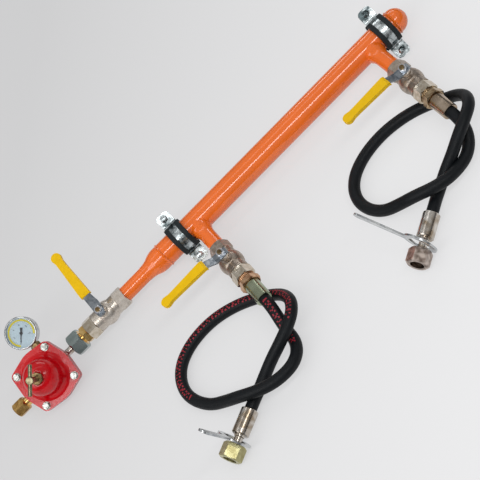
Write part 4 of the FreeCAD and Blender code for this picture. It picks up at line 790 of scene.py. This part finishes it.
class CutThreads(bpy.types.Operator):
    """Adds the thread crests of the two hose adapters"""
    bl_idname = "manifold.cut_threads"
    bl_label = "Cut threads"

    def execute(self, context):
        tree = ring_row_tree()
        for key, finish in (("a", "copper"), ("b", "bronze")):
            across, _, height = HOSE_ROUTE[key][0]
            mesh = made_by(tree, "adapter_thread_" + key, {
                "Count": THREAD_COUNT, "Pitch": THREAD_PITCH * MM, "Ring Radius": THREAD_RADIUS * MM,
                "Bead Radius": THREAD_BEAD * MM, "Material": finishes[finish]})
            start = [value * MM for value in (across, THREAD_START, height)]
            placed("adapter_thread_" + key, mesh, facing(start, (0, -1, 0), THREAD_SIDE))
        return {"FINISHED"}


class ApplyFinishes(bpy.types.Operator):
    """Gives every piece of the frame its finish"""
    bl_idname = "manifold.apply_finishes"
    bl_label = "Apply finishes"

    def execute(self, context):
        for finish, names in NODE_FINISH.items():
            for name in names:
                dress(NODES[name], finish)
        for name, (near, far) in SPLIT_FINISH.items():
            mesh = NODES[name].data
            mesh.materials.clear()
            mesh.materials.append(finishes[near])
            mesh.materials.append(finishes[far])
            for face in mesh.polygons:
                face.material_index = int(face.center.x > SPLIT_X)
        bare = [name for name, node in NODES.items()
                if not node.data.materials or node.data.materials[0] is None]
        if bare:
            raise RuntimeError("no finish for " + ", ".join(bare))
        return {"FINISHED"}


class SetStage(bpy.types.Operator):
    """Sets a pale floor and plain soft studio light"""
    bl_idname = "manifold.set_stage"
    bl_label = "Set stage"

    def execute(self, context):
        stage = settings().stage
        self.lay_floor(stage)
        self.hang_lamps(stage)
        self.light_room(context, stage)
        context.scene.view_settings.view_transform = "Standard"
        return {"FINISHED"}

    def lay_floor(self, stage):
        reach = FLOOR_REACH
        mesh = bpy.data.meshes.new("floor")
        mesh.from_pydata([(x, y, FLOOR_HEIGHT) for x, y in ((-reach, -reach), (reach, -reach), (reach, reach),
                                                            (-reach, reach))], [], [(0, 1, 2, 3)])
        mesh.materials.append(floor_paper("floor_paper", stage.floor))
        linked("floor", mesh)

    def hang_lamps(self, stage):
        for name, (spot, (wide, deep), setting, share) in LAMPS.items():
            lamp = bpy.data.lights.new(name, "AREA")
            lamp.shape = "RECTANGLE"
            lamp.size, lamp.size_y = wide, deep
            lamp.energy = getattr(stage, setting) * share
            holder = linked(name, lamp)
            holder.matrix_world = facing(spot, Vector(spot) - VIEW_TARGET)

    def light_room(self, context, stage):
        """A room that is pale overhead and darker towards the horizon."""
        world = bpy.data.worlds.new("room")
        context.scene.world = world
        world.use_nodes = True
        room = Nodes(world.node_tree)
        way = room.node("ShaderNodeTexCoord")["Generated"]
        height = room.node("ShaderNodeSeparateXYZ", Vector=way)["Z"]
        tone = room.node("ShaderNodeValToRGB", stops=ROOM_STOPS, Fac=height)["Color"]
        light = room.node("ShaderNodeBackground", Color=tone, Strength=stage.sky)[0]
        room.node("ShaderNodeOutputWorld", Surface=light)


class ManifoldPanel(bpy.types.Panel):
    """Lists the manifold's steps and settings"""
    bl_idname = "VIEW3D_PT_manifold"
    bl_label = "Manifold"
    bl_space_type = "VIEW_3D"
    bl_region_type = "UI"
    bl_category = "Manifold"

    def draw(self, context):
        for step in STEPS:
            self.layout.operator(step.bl_idname)
        for group in (settings().paint, settings().hose, settings().dial, settings().stage):
            box = self.layout.box()
            for key in group.__annotations__:
                box.prop(group, key)


STEPS = (PlaceCamera, LayHoses, PrintHose, MarkDial, CutThreads, ApplyFinishes, SetStage)
GROUPS = (PaintSettings, HoseSettings, DialSettings, StageSettings, ManifoldSettings)
CLASSES = GROUPS + STEPS + (ManifoldPanel,)


def register():
    for kind in CLASSES:
        bpy.utils.register_class(kind)
    bpy.types.Scene.manifold_settings = PointerProperty(type=ManifoldSettings)


def unregister():
    del bpy.types.Scene.manifold_settings
    for kind in reversed(CLASSES):
        bpy.utils.unregister_class(kind)


def main():
    register()
    for step in STEPS:
        group, name = step.bl_idname.split(".")
        getattr(getattr(bpy.ops, group), name)()


if __name__ == "__main__":
    main()
